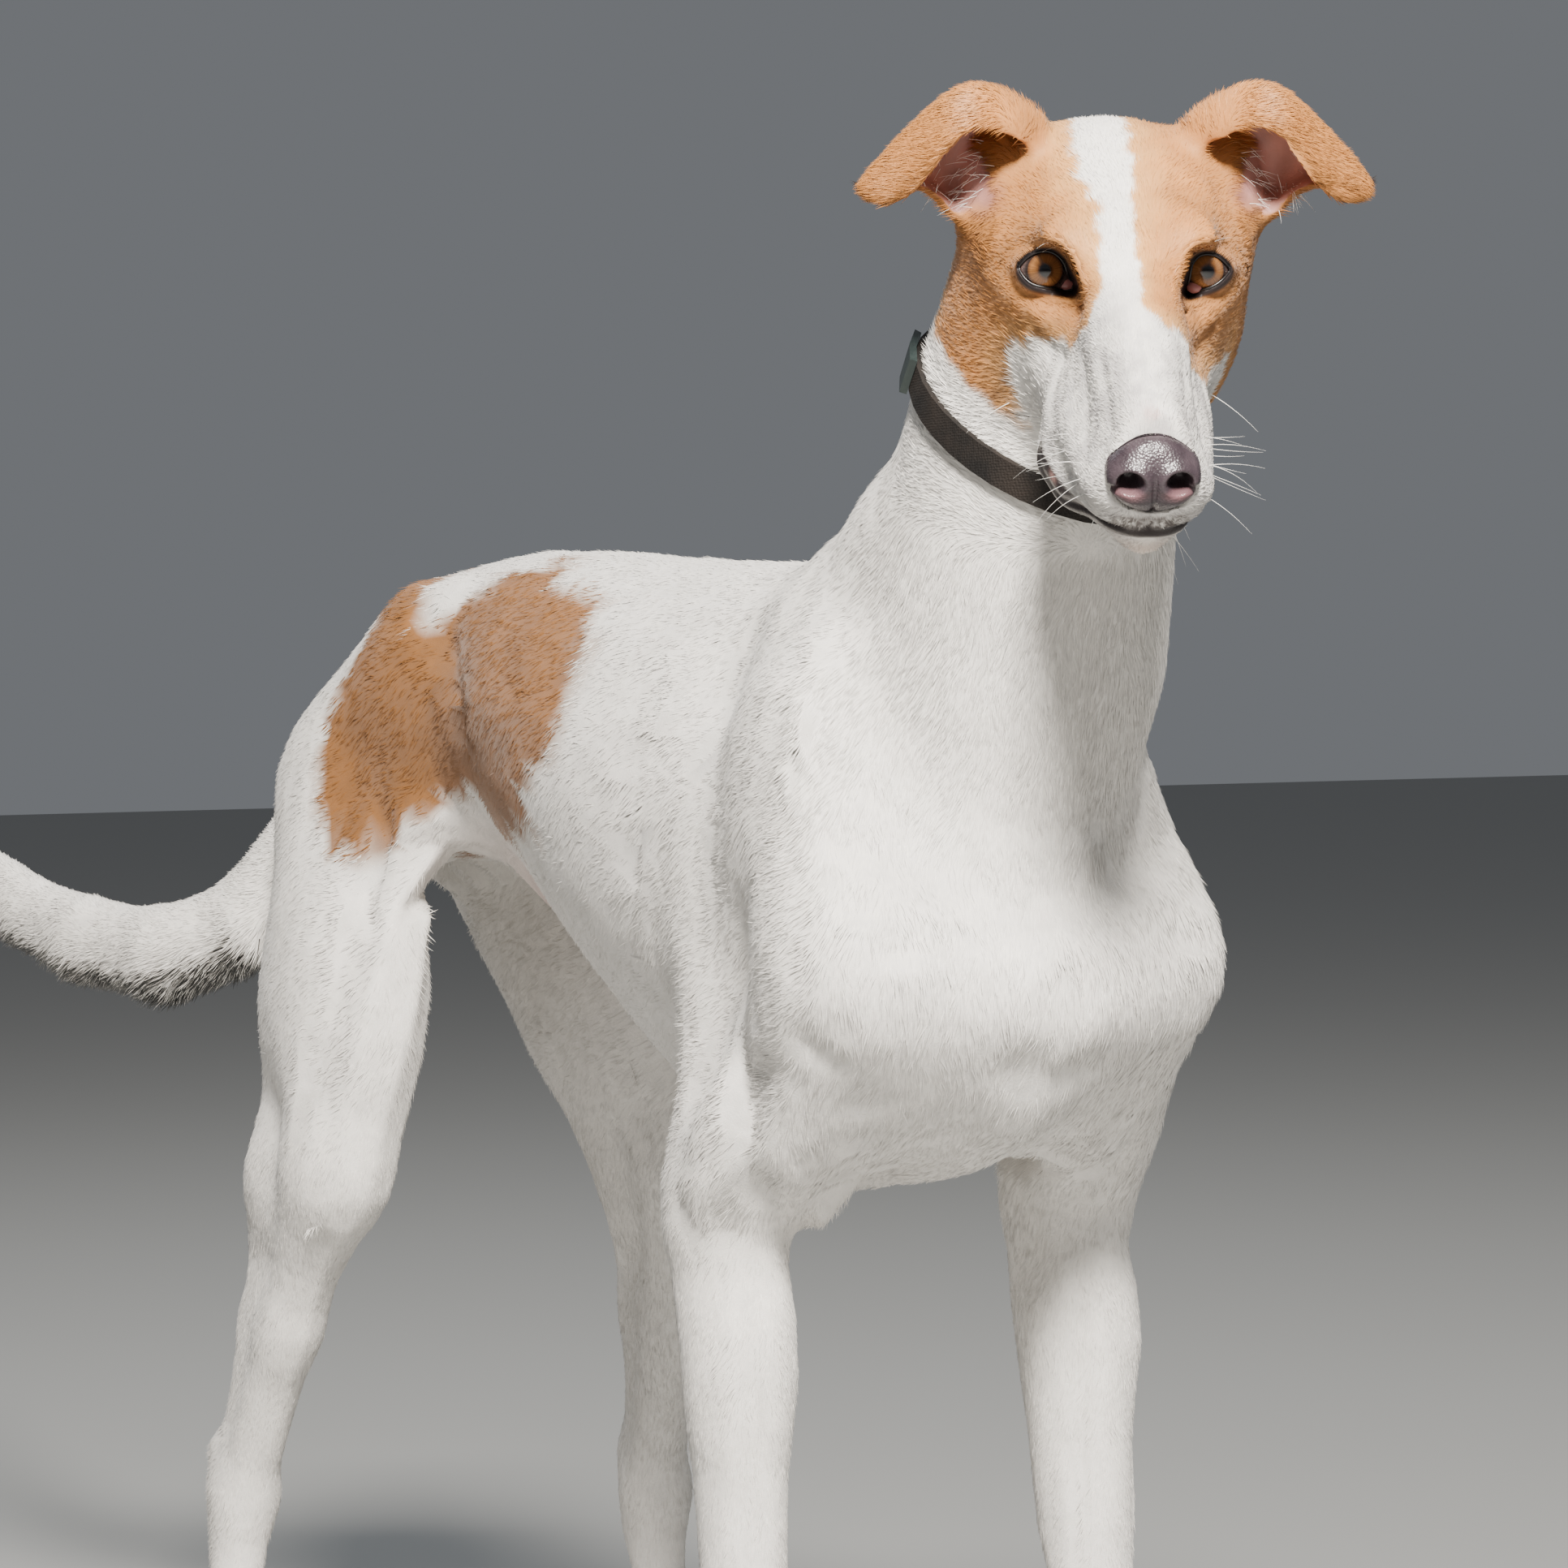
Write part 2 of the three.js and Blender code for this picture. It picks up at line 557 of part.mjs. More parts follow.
// Neck: rings that turn from the plane of the shoulders to the plane of the skull. Two of them carry the collar.
const collar_place = at(326.5, 9, 742.5);
const collar_width = 12;
const collar_thickness = 2.6;
const collar_clear = 0.7;
{
  const around = 30;
  const start = { centre: at(288, 4, 616), along: cuts.neck.way.clone() };
  const end = { centre: at(331, 8, 766), along: cuts.head.way.clone() };
  start.centre.addScaledVector(cuts.neck.way, half_gap - beyond(cuts.neck, ...start.centre.toArray()));
  end.centre.addScaledVector(cuts.head.way, -half_gap - beyond(cuts.head, ...end.centre.toArray()));
  const first = at(1, 0, 0);
  const band = [-0.5, 0.5].map((edge) => ({
    centre: collar_place.clone().addScaledVector(cuts.head.way, edge * collar_width),
    along: cuts.head.way.clone(),
    first,
  }));
  const below = steps(0, 1, 9).map((t) => ({
    centre: start.centre.clone().lerp(band[0].centre, t),
    along: start.along.clone().lerp(end.along, t),
    first,
  }));
  const above = [1 / 3, 2 / 3, 1].map((t) => ({
    centre: band[1].centre.clone().lerp(end.centre, t),
    along: end.along,
    first,
  }));
  add("neck", skin_of_rings(flesh, [...below, band[1], ...above], around, 130), coat);

  // A flat band lies on the coat, and a slide of plastic holds its two layers at the right of the nape
  const hoop = (low, high, edge, from, to) => {
    const positions = [];
    const corner = [[0, low], [0, high], [1, high], [1, low]];
    for (let k = from; k <= to; k += 1)
      for (const [which, out] of corner) {
        const ring = band[which];
        const n = ring.along.clone().normalize();
        const e1 = first.clone().addScaledVector(n, -first.dot(n)).normalize();
        const turn = (2 * Math.PI * k) / around;
        const way = e1.multiplyScalar(Math.cos(turn)).addScaledVector(n.clone().cross(first).normalize(), Math.sin(turn));
        const r = reach(flesh, ring.centre, way, 130) + out;
        const p = ring.centre.clone().addScaledVector(way, r).addScaledVector(n, which ? edge : -edge);
        positions.push(p.x, p.y, p.z);
      }
    const index = [];
    const whole = to - from === around;
    const count = to - from;
    const turns = whole ? count : count + 1;
    for (let k = 0; k < count; k += 1)
      for (let c = 0; c < 4; c += 1) {
        const a = (k % turns) * 4 + c;
        const b = (k % turns) * 4 + ((c + 1) % 4);
        const d = ((k + 1) % turns) * 4 + c;
        const e = ((k + 1) % turns) * 4 + ((c + 1) % 4);
        index.push(a, d, b, b, d, e);
      }
    if (!whole) {
      index.push(0, 1, 2, 0, 2, 3);
      const last = count * 4;
      index.push(last, last + 2, last + 1, last, last + 3, last + 2);
    }
    const geometry = new THREE.BufferGeometry();
    geometry.setAttribute("position", new THREE.Float32BufferAttribute(positions.slice(0, turns * 12), 3));
    geometry.setIndex(index);
    return geometry;
  };
  add("collar", hoop(collar_clear, collar_clear + collar_thickness, 0, 0, around), strap);
  const slide_low = collar_clear + gap + collar_thickness;
  add("collar_slide", hoop(slide_low, slide_low + 3.2, 2, 18, 20), plastic);
}

// Forelegs: rings from the plane of the armpit down to the pastern, and the paws below it
const paw_top = 60;
for (const [name, side] of Object.entries(sides)) {
  const s = side * stance[name];
  const cut = cuts[`foreleg_${name}`];
  const shift = forefoot_forward[name] - 236;
  const start = at(196, s + side * 2, 446);
  start.addScaledVector(cut.way, half_gap - beyond(cut, ...start.toArray()));
  const bend = [start, at(196, s + side * 2, 424), at(197, s + side, 408), at(198, s, 394), at(199, s, 380)];
  const down = at(0, 0, -1);
  const rings = bend.map((centre, i) => ({
    centre,
    along: cut.way.clone().lerp(down, i / (bend.length - 1)),
    first: at(1, 0, 0),
  }));
  const levels = [...steps(360, 250, 5), 222, 196, 174, 160, 148, 136, 122, 100, 78, paw_top + half_gap];
  for (const up of levels) {
    const knee = 209 + shift * 0.7;
    const forward = up > 146 ? lerp(199, knee, (384 - up) / 238) : lerp(knee, 224 + shift, (146 - up) / 84);
    rings.push({ centre: at(forward, s, up), along: down, first: at(1, 0, 0) });
  }
  add(`foreleg_${name}`, skin_of_rings(flesh, rings, 18, 110), coat);
}

// Hind legs: thigh, shank, hock and paw
const knee_level = 352;
const hock_level = 232;
for (const [name, side] of Object.entries(sides)) {
  const p = hind_points(name);
  const down = at(0, 0, -1);
  const apart = (x, y, z) => Math.max(flesh(x, y, z), half_gap - side * x, gap - flank_fold - y);
  const start = at(-262, side * 50, 574);
  start.addScaledVector(cuts.hindleg.way, half_gap - beyond(cuts.hindleg, ...start.toArray()));
  const knee = at(-p.stifle.y - 42, p.stifle.x, knee_level + half_gap);
  const thigh = steps(0, 1, 13).map((t) => ({
    centre: start.clone().lerp(knee, t),
    along: cuts.hindleg.way.clone().lerp(down, smoothstep(t, 0, 0.7)),
    first: at(1, 0, 0),
  }));
  const thigh_flesh = solid(skin_of_rings(apart, thigh, 24, 220));
  add(`thigh_${name}`, geometry_of(thigh_flesh.subtract(tail_socket)), name === "right" ? tan : coat);

  const shank_centre = (up) => {
    const t = (p.stifle.z - up) / (p.stifle.z - p.hock.z);
    const line = p.stifle.clone().lerp(p.hock, t);
    return at(-line.y - lerp(30, 4, clamp(t, 0, 1)), line.x, up);
  };
  const level = (up) => ({ centre: shank_centre(up), along: down, first: at(1, 0, 0) });
  const shank = [knee_level - half_gap, ...steps(342, 244, 7), hock_level + half_gap].map(level);
  add(`shank_${name}`, skin_of_rings(flesh, shank, 18, 120), coat);

  const ankle = at(-p.foot.y - 6, p.foot.x, 62);
  const foot_centre = (up) => (up > p.hock.z ? shank_centre(up) : p.hock.clone().lerp(ankle, (p.hock.z - up) / 120));
  const levels = [hock_level - half_gap, 224, 215, 206, 197, 187, 176, 162, 144, 122, 98, 78, paw_top + half_gap];
  const hock = levels.map((up) => {
    const c = foot_centre(up);
    return { centre: new THREE.Vector3(c.x, c.y, up), along: down, first: at(1, 0, 0) };
  });
  add(`hock_${name}`, skin_of_rings(flesh, hock, 18, 90), coat);
}

// Claws: a short curved horn at the end of each toe, its root set into the toe
function claw_geometry(p, size, grow) {
  const shape = new THREE.CatmullRomCurve3([p.claw, p.claw.clone().lerp(p.point, 0.5).setZ(p.claw.z * 0.86), p.point]);
  const count = 3;
  const around = 6;
  const positions = [];
  for (let i = 0; i < count; i += 1) {
    const t = i / count;
    const c = shape.getPoint(t);
    const n = shape.getTangent(t);
    if (i === 0) c.addScaledVector(n, -grow);
    const across = new THREE.Vector3(1, 0, 0).addScaledVector(n, -n.x).normalize();
    const up = n.clone().cross(across);
    const r = size * lerp(3.6, 1.4, t) + grow;
    for (let k = 0; k < around; k += 1) {
      const turn = (2 * Math.PI * k) / around;
      const v = c.clone().addScaledVector(across, 0.8 * r * Math.cos(turn)).addScaledVector(up, r * Math.sin(turn));
      positions.push(v.x, v.y, v.z);
    }
  }
  const start = shape.getPoint(0).addScaledVector(shape.getTangent(0), -grow);
  return close_rings(positions, count, around, start, shape.getPoint(1).addScaledVector(shape.getTangent(1), grow));
}

const sole_flat = 0.6;
function add_paw(name, paw, size) {
  const down = at(0, 0, -1);
  const levels = [paw_top - half_gap, 48, 38, 31, 25, 19, 13, 7, 2.5, 0];
  const rings = levels.map((up) => ({
    centre: new THREE.Vector3(paw.x, paw.y - lerp(14, -4, up / paw_top) * size, up),
    along: down,
    first: at(1, 0, 0),
  }));
  const field = (x, y, z) => flesh(x, y, Math.max(z, sole_flat));
  let toes = solid(skin_of_rings(field, rings, 26, 80));
  toe_spread.forEach((toe, i) => {
    const p = toe_points(paw, size, toe);
    toes = toes.subtract(solid(claw_geometry(p, size, gap)));
    add(`claw_${name}_${i + 1}`, claw_geometry(p, size, 0), horn);
  });
  add(`paw_${name}`, geometry_of(toes), coat);
}
for (const [name, side] of Object.entries(sides)) {
  add_paw(`fore_${name}`, at(forefoot_forward[name], side * stance[name], 0), 1);
  add_paw(`hind_${name}`, hind_points(name).foot, 0.94);
}

// Eye of one side: its middle, and the frame of its opening with z out of the eye and x to its outer corner
function eye_frame(side) {
  const centre = in_head(eye_place.along, side * eye_place.across, eye_place.up);
  const out = Math.sin(eye_place.out) * side;
  const look = head_way(Math.cos(eye_place.out) * Math.cos(eye_place.up_turn), out, Math.sin(eye_place.up_turn));
  const across = head_way(0, side, 0.22);
  across.addScaledVector(look, -across.dot(look)).normalize();
  const up = look.clone().cross(across);
  return { centre, frame: new THREE.Matrix4().makeBasis(across, up, look).setPosition(centre) };
}
const ball = (radius, detail) => new THREE.IcosahedronGeometry(radius, detail);

// The opening between the lids, as a block through them
function lid_opening(side) {
  const half = 10.2;
  const top = 7.2 * side;
  const bottom = -6.6 * side;
  const shape = new THREE.Shape();
  shape.moveTo(-half, -1.6 * side);
  shape.quadraticCurveTo(-half * 0.3, top * 1.75, half, 0.8 * side);
  shape.quadraticCurveTo(half * 0.2, bottom * 1.95, -half, -1.6 * side);
  return new THREE.ExtrudeGeometry(shape, { depth: 14, bevelEnabled: false, curveSegments: 9 }).translate(0, 0, 3.2);
}

// A bar along a curve, of few sides, with its ends closed
function bar(points, radius, count, sides_round = 5) {
  const ring = new THREE.Shape();
  for (let k = 0; k < sides_round; k += 1) {
    const turn = (2 * Math.PI * k) / sides_round;
    if (k === 0) ring.moveTo(radius, 0);
    else ring.lineTo(radius * Math.cos(turn), radius * Math.sin(turn));
  }
  const curve = new THREE.CatmullRomCurve3(points, false, "centripetal");
  return new THREE.ExtrudeGeometry(ring, { steps: count, bevelEnabled: false, extrudePath: curve });
}

// Where a ray across the head at `a` along and `u` up leaves the flesh on one side
const on_face = (a, u, side) => {
  const way = head_way(0, side, 0);
  return in_head(a, 0, u).addScaledVector(way, reach(flesh, in_head(a, 0, u), way, 90));
};

// The nose leather begins at a leaning plane, so that the upper lip under it belongs to the head
const nose_place = in_head(124, 0, -20);
const nose_plane = plane(nose_place, head_way(0.94, 0, 0.34));

// Head: rings across the muzzle and skull, cut by the plane of the neck, with sockets, lids and mouth
function head_skin(grow) {
  const field = (x, y, z) => {
    const uncut = Math.max(flesh(x, y, z) - grow, -beyond(cuts.head, x, y, z) - 12);
    return Math.max(uncut, beyond(nose_plane, x, y, z) - 8);
  };
  const places = [
    132, 128, 124, 119, 113, 106, ...steps(98, 26, 7), ...steps(18, -27, 9), ...steps(-35, -118, 8),
  ];
  const middle = [[133, -44], [112, -36], [60, -28], [20, -20], [-20, -14], [-60, -12], [-116, -2]];
  const rings = places.map((a) => ({
    centre: in_head(a, 0, through(middle, a)[0]),
    along: head_way(-1, 0, 0),
    first: head_way(0, 0, 1),
  }));
  return solid(skin_of_rings(field, rings, 34, 130));
}
{
  let head = head_skin(0);
  head = head.subtract(far_side({ point: cuts.head.point, way: cuts.head.way.clone().negate() }, -half_gap));
  head = head.subtract(far_side(nose_plane, -half_gap, 90));
  for (const [name, side] of Object.entries(sides)) {
    const { frame } = eye_frame(side);
    const lids = ball(eye_place.radius + 1.9, 3).applyMatrix4(frame);
    const socket = ball(eye_place.radius + gap * 1.6, 3).applyMatrix4(frame);
    const opening = lid_opening(side).applyMatrix4(frame);
    head = head.add(solid(lids)).subtract(solid(opening)).subtract(solid(socket));
    add(`eye_${name}`, ball(eye_place.radius, 3).applyMatrix4(frame), glassy);
    const lip_places = [[52, -54], [60, -57.5], [72, -59.5], [86, -59], [98, -57], [108, -54.5], [116, -52.5]];
    const lips = lip_places.map(([a, u]) => on_face(a, u, side));
    lips.push(in_head(128, side * 5, -51.5), in_head(133, -side * 2, -51));
    head = head.subtract(solid(bar(lips, 1.5, 18, 4)));
  }
  add("head", geometry_of(head), tan);
}

// Nose leather: the tip of the muzzle, with a nostril of a round hole and a slit to the side
{
  const rings = [half_gap, 2, 4.5, 7, 9, 10.6, 11.6].map((out) => ({
    centre: nose_place.clone().addScaledVector(nose_plane.way, out),
    along: nose_plane.way,
    first: head_way(0, 0, 1),
  }));
  const leather_edge = egg(in_head(120, 0, -24), new THREE.Vector3(18.4, 40, 15.5), head_rotation);
  const field = (x, y, z) => Math.max(flesh(x, y, z), leather_edge(x, y, z));
  let nose = solid(skin_of_rings(field, rings, 24, 60));
  for (const side of [-1, 1]) {
    const hole = [in_head(139, side * 9.5, -25), in_head(132, side * 8.5, -26), in_head(126.5, side * 7, -28)];
    const slit = [in_head(135, side * 11, -28), in_head(131, side * 16.5, -31), in_head(126, side * 22, -32)];
    nose = nose.subtract(solid(bar(hole, 3.4, 2, 8))).subtract(solid(bar(slit, 1.4, 2, 6)));
  }
  add("nose", geometry_of(nose), leather);
}

// Ear: one sheet round a cup that opens forward. Its upper margin folds over the cup and hangs out to the tip.
// Along the ear: outward place, then forward and up of the flap's edge, the crest, the back, the floor and
// the lower margin, all from the middle of the ear's root.
const ear_root = { along: -64, across: 40, up: 22 };
const ear_stations = [
  [-12, 10, 8, 2, 20, -12, 4, -8, -16, 4, -22],
  [2, 20, 18, 4, 31, -14, 8, -8, -20, 8, -28],
  [14, 24, 24, 6, 36, -12, 10, -7, -20, 12, -27],
  [25, 26, 19, 8, 34, -8, 10, -4, -14, 14, -16],
  [34, 26, 6, 10, 27, -4, 8, 0, -8, 14, -4],
  [44, 24, -6, 12, 17, 1, 7, 6, -2, 15, -4],
  [54, 22, -9, 14, 6, 7, 2, 9, -4, 16, -7],
  [62, 19, -7, 15, -2, 11, -3, 12, -5, 16, -7],
];
function ear_sheet(side, along_count, across_count) {
  const lift = (i) => lerp(-12, 62, i / along_count);
  const middle = [];
  for (let i = 0; i <= along_count; i += 1) {
    const out = lift(i);
    const v = through(ear_stations, out);
    const curve = new THREE.SplineCurve(
      Array.from({ length: 5 }, (_, k) => new THREE.Vector2(v[2 * k], v[2 * k + 1])),
    );
    for (let j = 0; j <= across_count; j += 1) {
      const p = curve.getPoint(j / across_count);
      middle.push(in_head(ear_root.along + p.x, side * (ear_root.across + out), ear_root.up + p.y));
    }
  }
  const point = (i, j) => middle[clamp(i, 0, along_count) * (across_count + 1) + clamp(j, 0, across_count)];
  const normal = (i, j) => {
    const along = point(i + 1, j).clone().sub(point(i - 1, j));
    const across = point(i, j + 1).clone().sub(point(i, j - 1));
    return along.cross(across).multiplyScalar(-side).normalize();
  };
  const positions = [];
  const half = (i, j) => {
    const edge = Math.min(j, across_count - j, along_count - i);
    return edge === 0 ? 0.7 : lerp(2, 1.3, i / along_count);
  };
  for (const face of [1, -1])
    for (let i = 0; i <= along_count; i += 1)
      for (let j = 0; j <= across_count; j += 1) {
        const p = point(i, j).clone().addScaledVector(normal(i, j), face * half(i, j));
        positions.push(p.x, p.y, p.z);
      }
  const row = across_count + 1;
  const back = (along_count + 1) * row;
  const index = [];
  const quad = (a, b, c, d) => index.push(a, b, c, a, c, d);
  for (let i = 0; i < along_count; i += 1)
    for (let j = 0; j < across_count; j += 1) {
      const a = i * row + j;
      quad(a, a + row, a + row + 1, a + 1);
      index.push(back + a, back + a + row + 1, back + a + row, back + a, back + a + 1, back + a + row + 1);
    }
  for (let i = 0; i < along_count; i += 1) {
    const a = i * row;
    quad(a, back + a, back + a + row, a + row);
    const b = a + across_count;
    quad(b, b + row, back + b + row, back + b);
  }
  for (let j = 0; j < across_count; j += 1) {
    quad(j, j + 1, back + j + 1, back + j);
    const b = along_count * row + j;
    quad(b, back + b, back + b + 1, b + 1);
  }
  if (side > 0) for (let k = 0; k < index.length; k += 3) [index[k], index[k + 1]] = [index[k + 1], index[k]];
  const geometry = new THREE.BufferGeometry();
  geometry.setAttribute("position", new THREE.Float32BufferAttribute(positions, 3));
  geometry.setIndex(index);
  return geometry;
}
{
  const grown = head_skin(gap);
  for (const [name, side] of Object.entries(sides)) {
    const sheet = solid(ear_sheet(side, 12, 11));
    add(`ear_${name}`, geometry_of(sheet.subtract(grown)), tan);
  }
}

// Origin on the floor at the middle of the whole
const extent = new THREE.Box3().setFromObject(group);
const middle = extent.getCenter(new THREE.Vector3());
for (const mesh of group.children) mesh.geometry.translate(-middle.x, -middle.y, -extent.min.z);

export default group;
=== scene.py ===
import math

import bpy
import numpy as np
from mathutils import Matrix, Vector
from mathutils.bvhtree import BVHTree


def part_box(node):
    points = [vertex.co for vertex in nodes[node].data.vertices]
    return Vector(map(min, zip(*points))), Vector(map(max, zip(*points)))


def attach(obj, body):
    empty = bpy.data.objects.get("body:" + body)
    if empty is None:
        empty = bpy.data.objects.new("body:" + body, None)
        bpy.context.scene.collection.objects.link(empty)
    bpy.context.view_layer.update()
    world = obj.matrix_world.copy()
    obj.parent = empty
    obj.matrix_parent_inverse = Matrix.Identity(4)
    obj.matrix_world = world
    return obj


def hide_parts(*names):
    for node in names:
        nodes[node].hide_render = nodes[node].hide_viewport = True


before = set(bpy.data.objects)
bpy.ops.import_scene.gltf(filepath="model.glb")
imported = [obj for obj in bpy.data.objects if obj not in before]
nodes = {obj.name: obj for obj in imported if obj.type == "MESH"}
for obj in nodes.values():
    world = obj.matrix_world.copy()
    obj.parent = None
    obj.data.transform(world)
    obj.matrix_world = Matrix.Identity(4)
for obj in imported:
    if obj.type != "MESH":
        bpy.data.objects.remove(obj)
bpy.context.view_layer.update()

# The room: a grey floor of painted board, and the camera at the height of the dog's chest, a little to its
# right. All sizes of the dog are measured in mm from one spot on the floor under its withers.
home = np.array((16.875, -128.068, 0.0))


def at(forward, left, up):
    return (np.array((left, -forward, up)) + home) / 1000


photo_pixels = 1932
camera_focal_pixels = 4902.1
camera_place = at(1727.8, -869.1, 630.2)
camera_turn = math.radians(-28.234)
camera_down = math.radians(1.295)
camera_roll = math.radians(0.692)
sensor = 36.0
camera_data = bpy.data.cameras.new("camera")
camera_data.sensor_width = sensor
camera_data.lens = sensor * camera_focal_pixels / photo_pixels
camera_data.clip_end = 60
camera = bpy.data.objects.new("camera", camera_data)
look = Matrix.Rotation(camera_turn, 4, "Z") @ Matrix.Rotation(math.pi / 2 - camera_down, 4, "X")
camera.matrix_world = Matrix.Translation(camera_place) @ look @ Matrix.Rotation(-camera_roll, 4, "Z")
bpy.context.scene.collection.objects.link(camera)
bpy.context.scene.camera = camera

bpy.ops.object.select_all(action="DESELECT")
bpy.ops.mesh.primitive_plane_add(size=40, location=(0, 0, 0))
floor = bpy.context.object
floor.name = "floor"


def principled(name, **sockets):
    """A new material; sockets of its shader are set by name, with _ for a space."""
    material = bpy.data.materials.new(name)
    material.use_nodes = True
    shader = material.node_tree.nodes["Principled BSDF"]
    for socket, value in sockets.items():
        shader.inputs[socket.replace("_", " ")].default_value = value
    return material, material.node_tree, shader


floor_paint = principled("grey floor paint", Base_Color=(0.36, 0.36, 0.35, 1), Roughness=0.8)[0]
floor.data.materials.append(floor_paint)

world = bpy.data.worlds.new("studio")
bpy.context.scene.world = world
world.use_nodes = True
air = world.node_tree.nodes["Background"].inputs
air["Color"].default_value = (0.80, 0.84, 0.90, 1)
air["Strength"].default_value = 0.20


def area_light(name, place, aim, size, power, tint):
    data = bpy.data.lights.new(name, "AREA")
    data.size = size
    data.energy = power
    data.color = tint
    light = bpy.data.objects.new(name, data)
    light.location = place
    light.rotation_euler = (Vector(aim) - Vector(place)).to_track_quat("-Z", "Y").to_euler()
    bpy.context.scene.collection.objects.link(light)


area_light("window", (-1.0, -2.5, 2.7), (0, -0.15, 0.55), 0.6, 385, (1.0, 0.955, 0.89))
area_light("sky", (0.2, 1.6, 3.0), (0, 0.1, 0.4), 2.2, 32, (0.88, 0.94, 1.0))
area_light("fill", (2.6, -2.6, 1.4), (0, -0.2, 0.5), 2.2, 4, (0.95, 0.97, 1.0))

# The skin: one hide over torso, neck, head, ears, legs, feet and tail. It is cast from the solids as one
# piece, smoothed, and then modelled: muscles, ribs, folds, lids and lips. It lies under the coat's depth.
flesh_nodes = [name for name in nodes if not name.startswith(("claw", "collar", "eye", "nose"))]
coat_depth = 0.0010
skin_voxel = 0.0024
joint_overlap = 0.0006

head_turn = math.radians(27.5)
head_pitch = math.radians(28)
head_roll = math.radians(0.5)
head_turned = np.array(
    Matrix.Rotation(-head_turn, 3, "Z")
    @ Matrix.Rotation(head_pitch, 3, "X")
    @ Matrix.Rotation(head_roll, 3, "Y")
)
between_eyes = at(417, -11, 792)


def in_head(along, left, up):
    return between_eyes + head_turned @ (np.array((left, -along, up)) / 1000)


def head_way(along, left, up):
    return head_turned @ np.array((left, -along, up))


def head_sizes(points):
    """How far points lie along the muzzle, to the left and up, in mm from between the eyes."""
    q = (points - between_eyes) @ head_turned * 1000
    return -q[:, 1], q[:, 0], q[:, 2]


def body_sizes(points):
    q = points * 1000 - home
    return -q[:, 1], q[:, 0], q[:, 2]


def ease(value, low, high):
    t = np.clip((value - low) / (high - low), 0, 1)
    return t * t * (3 - 2 * t)


def ripple(points, size, seed):
    """Soft unevenness between -1 and 1, in patches of about that many mm."""
    waves = np.random.default_rng(seed)
    total = np.zeros(len(points))
    for _ in range(7):
        way = waves.normal(size=3)
        way /= np.linalg.norm(way)
        per_metre = 1000 * waves.uniform(0.7, 1.5) * 2 * math.pi / size
        total += np.sin(points @ way * per_metre + waves.uniform(0, 7))
    return total / 3.2


def bell(*ways):
    """1 in the middle and softly down to 0; each way is given in widths of the bell."""
    return np.exp(-sum(way**2 for way in ways))


def mixed(base, other, share):
    """Base turned into other by the share that each point has of it."""
    return base + (other - base) * share[:, None]


def places_of(piece):
    co = np.empty(len(piece.data.vertices) * 3)
    piece.data.vertices.foreach_get("co", co)
    return co.reshape(-1, 3)


def set_places(piece, co):
    piece.data.vertices.foreach_set("co", co.reshape(-1))
    piece.data.update()


def normals_of(piece):
    no = np.empty(len(piece.data.vertices) * 3)
    piece.data.vertices.foreach_get("normal", no)
    return no.reshape(-1, 3)


def only(*pieces):
    bpy.ops.object.select_all(action="DESELECT")
    for piece in pieces:
        piece.select_set(True)
    bpy.context.view_layer.objects.active = pieces[0]


def weld_and_swell(piece, swollen):
    """Welds points that lie on each other, then moves the surface out."""
    only(piece)
    bpy.ops.object.mode_set(mode="EDIT")
    bpy.ops.mesh.select_all(action="SELECT")
    bpy.ops.mesh.remove_doubles(threshold=0.00002)
    bpy.ops.transform.shrink_fatten(value=swollen)
    bpy.ops.object.mode_set(mode="OBJECT")


def turn_outwards(piece):
    """Turns the faces of a closed piece outwards."""
    only(piece)
    bpy.ops.object.mode_set(mode="EDIT")
    bpy.ops.mesh.select_all(action="SELECT")
    bpy.ops.mesh.normals_make_consistent(inside=False)
    bpy.ops.object.mode_set(mode="OBJECT")


def new_piece(name, points, faces, material=None):
    mesh = bpy.data.meshes.new(name)
    mesh.from_pydata([tuple(p) for p in points], [], [tuple(int(k) for k in face) for face in faces])
    mesh.update()
    piece = bpy.data.objects.new(name, mesh)
    bpy.context.scene.collection.objects.link(piece)
    if material:
        mesh.materials.append(material)
    mesh.polygons.foreach_set("use_smooth", np.ones(len(mesh.polygons), bool))
    return piece


def smooth(piece, times, weight, given_back=0.0):
    """Moves each point towards the mean of its neighbours; given_back returns part of the lost volume."""
    edges = np.empty(len(piece.data.edges) * 2, np.int64)
    piece.data.edges.foreach_get("vertices", edges)
    a, b = edges.reshape(-1, 2).T
    count = len(piece.data.vertices)
    degree = np.bincount(a, minlength=count) + np.bincount(b, minlength=count)
    co = places_of(piece)
    for _ in range(times):
        for factor in (0.55, -given_back):
            mean = [
                (np.bincount(a, co[b, k], count) + np.bincount(b, co[a, k], count)) / degree
                for k in range(3)
            ]
            co = co + (np.stack(mean, 1) - co) * (weight * factor)[:, None]
    set_places(piece, co)


ear_rim = 0.0007
copies = []
for name in flesh_nodes:
    copy = nodes[name].copy()
    copy.data = nodes[name].data.copy()
    copy.parent = None
    bpy.context.scene.collection.objects.link(copy)
    copies.append(copy)
    if name.startswith("ear"):
        weld_and_swell(copy, ear_rim)
only(*copies)
bpy.ops.object.join()
skin = bpy.context.object
skin.name = "skin"
for key in list(skin.keys()):
    del skin[key]
skin.data.materials.clear()
weld_and_swell(skin, joint_overlap)
remesh = skin.modifiers.new("cast", "REMESH")
remesh.mode = "VOXEL"
remesh.voxel_size = skin_voxel
bpy.ops.object.modifier_apply(modifier=remesh.name)

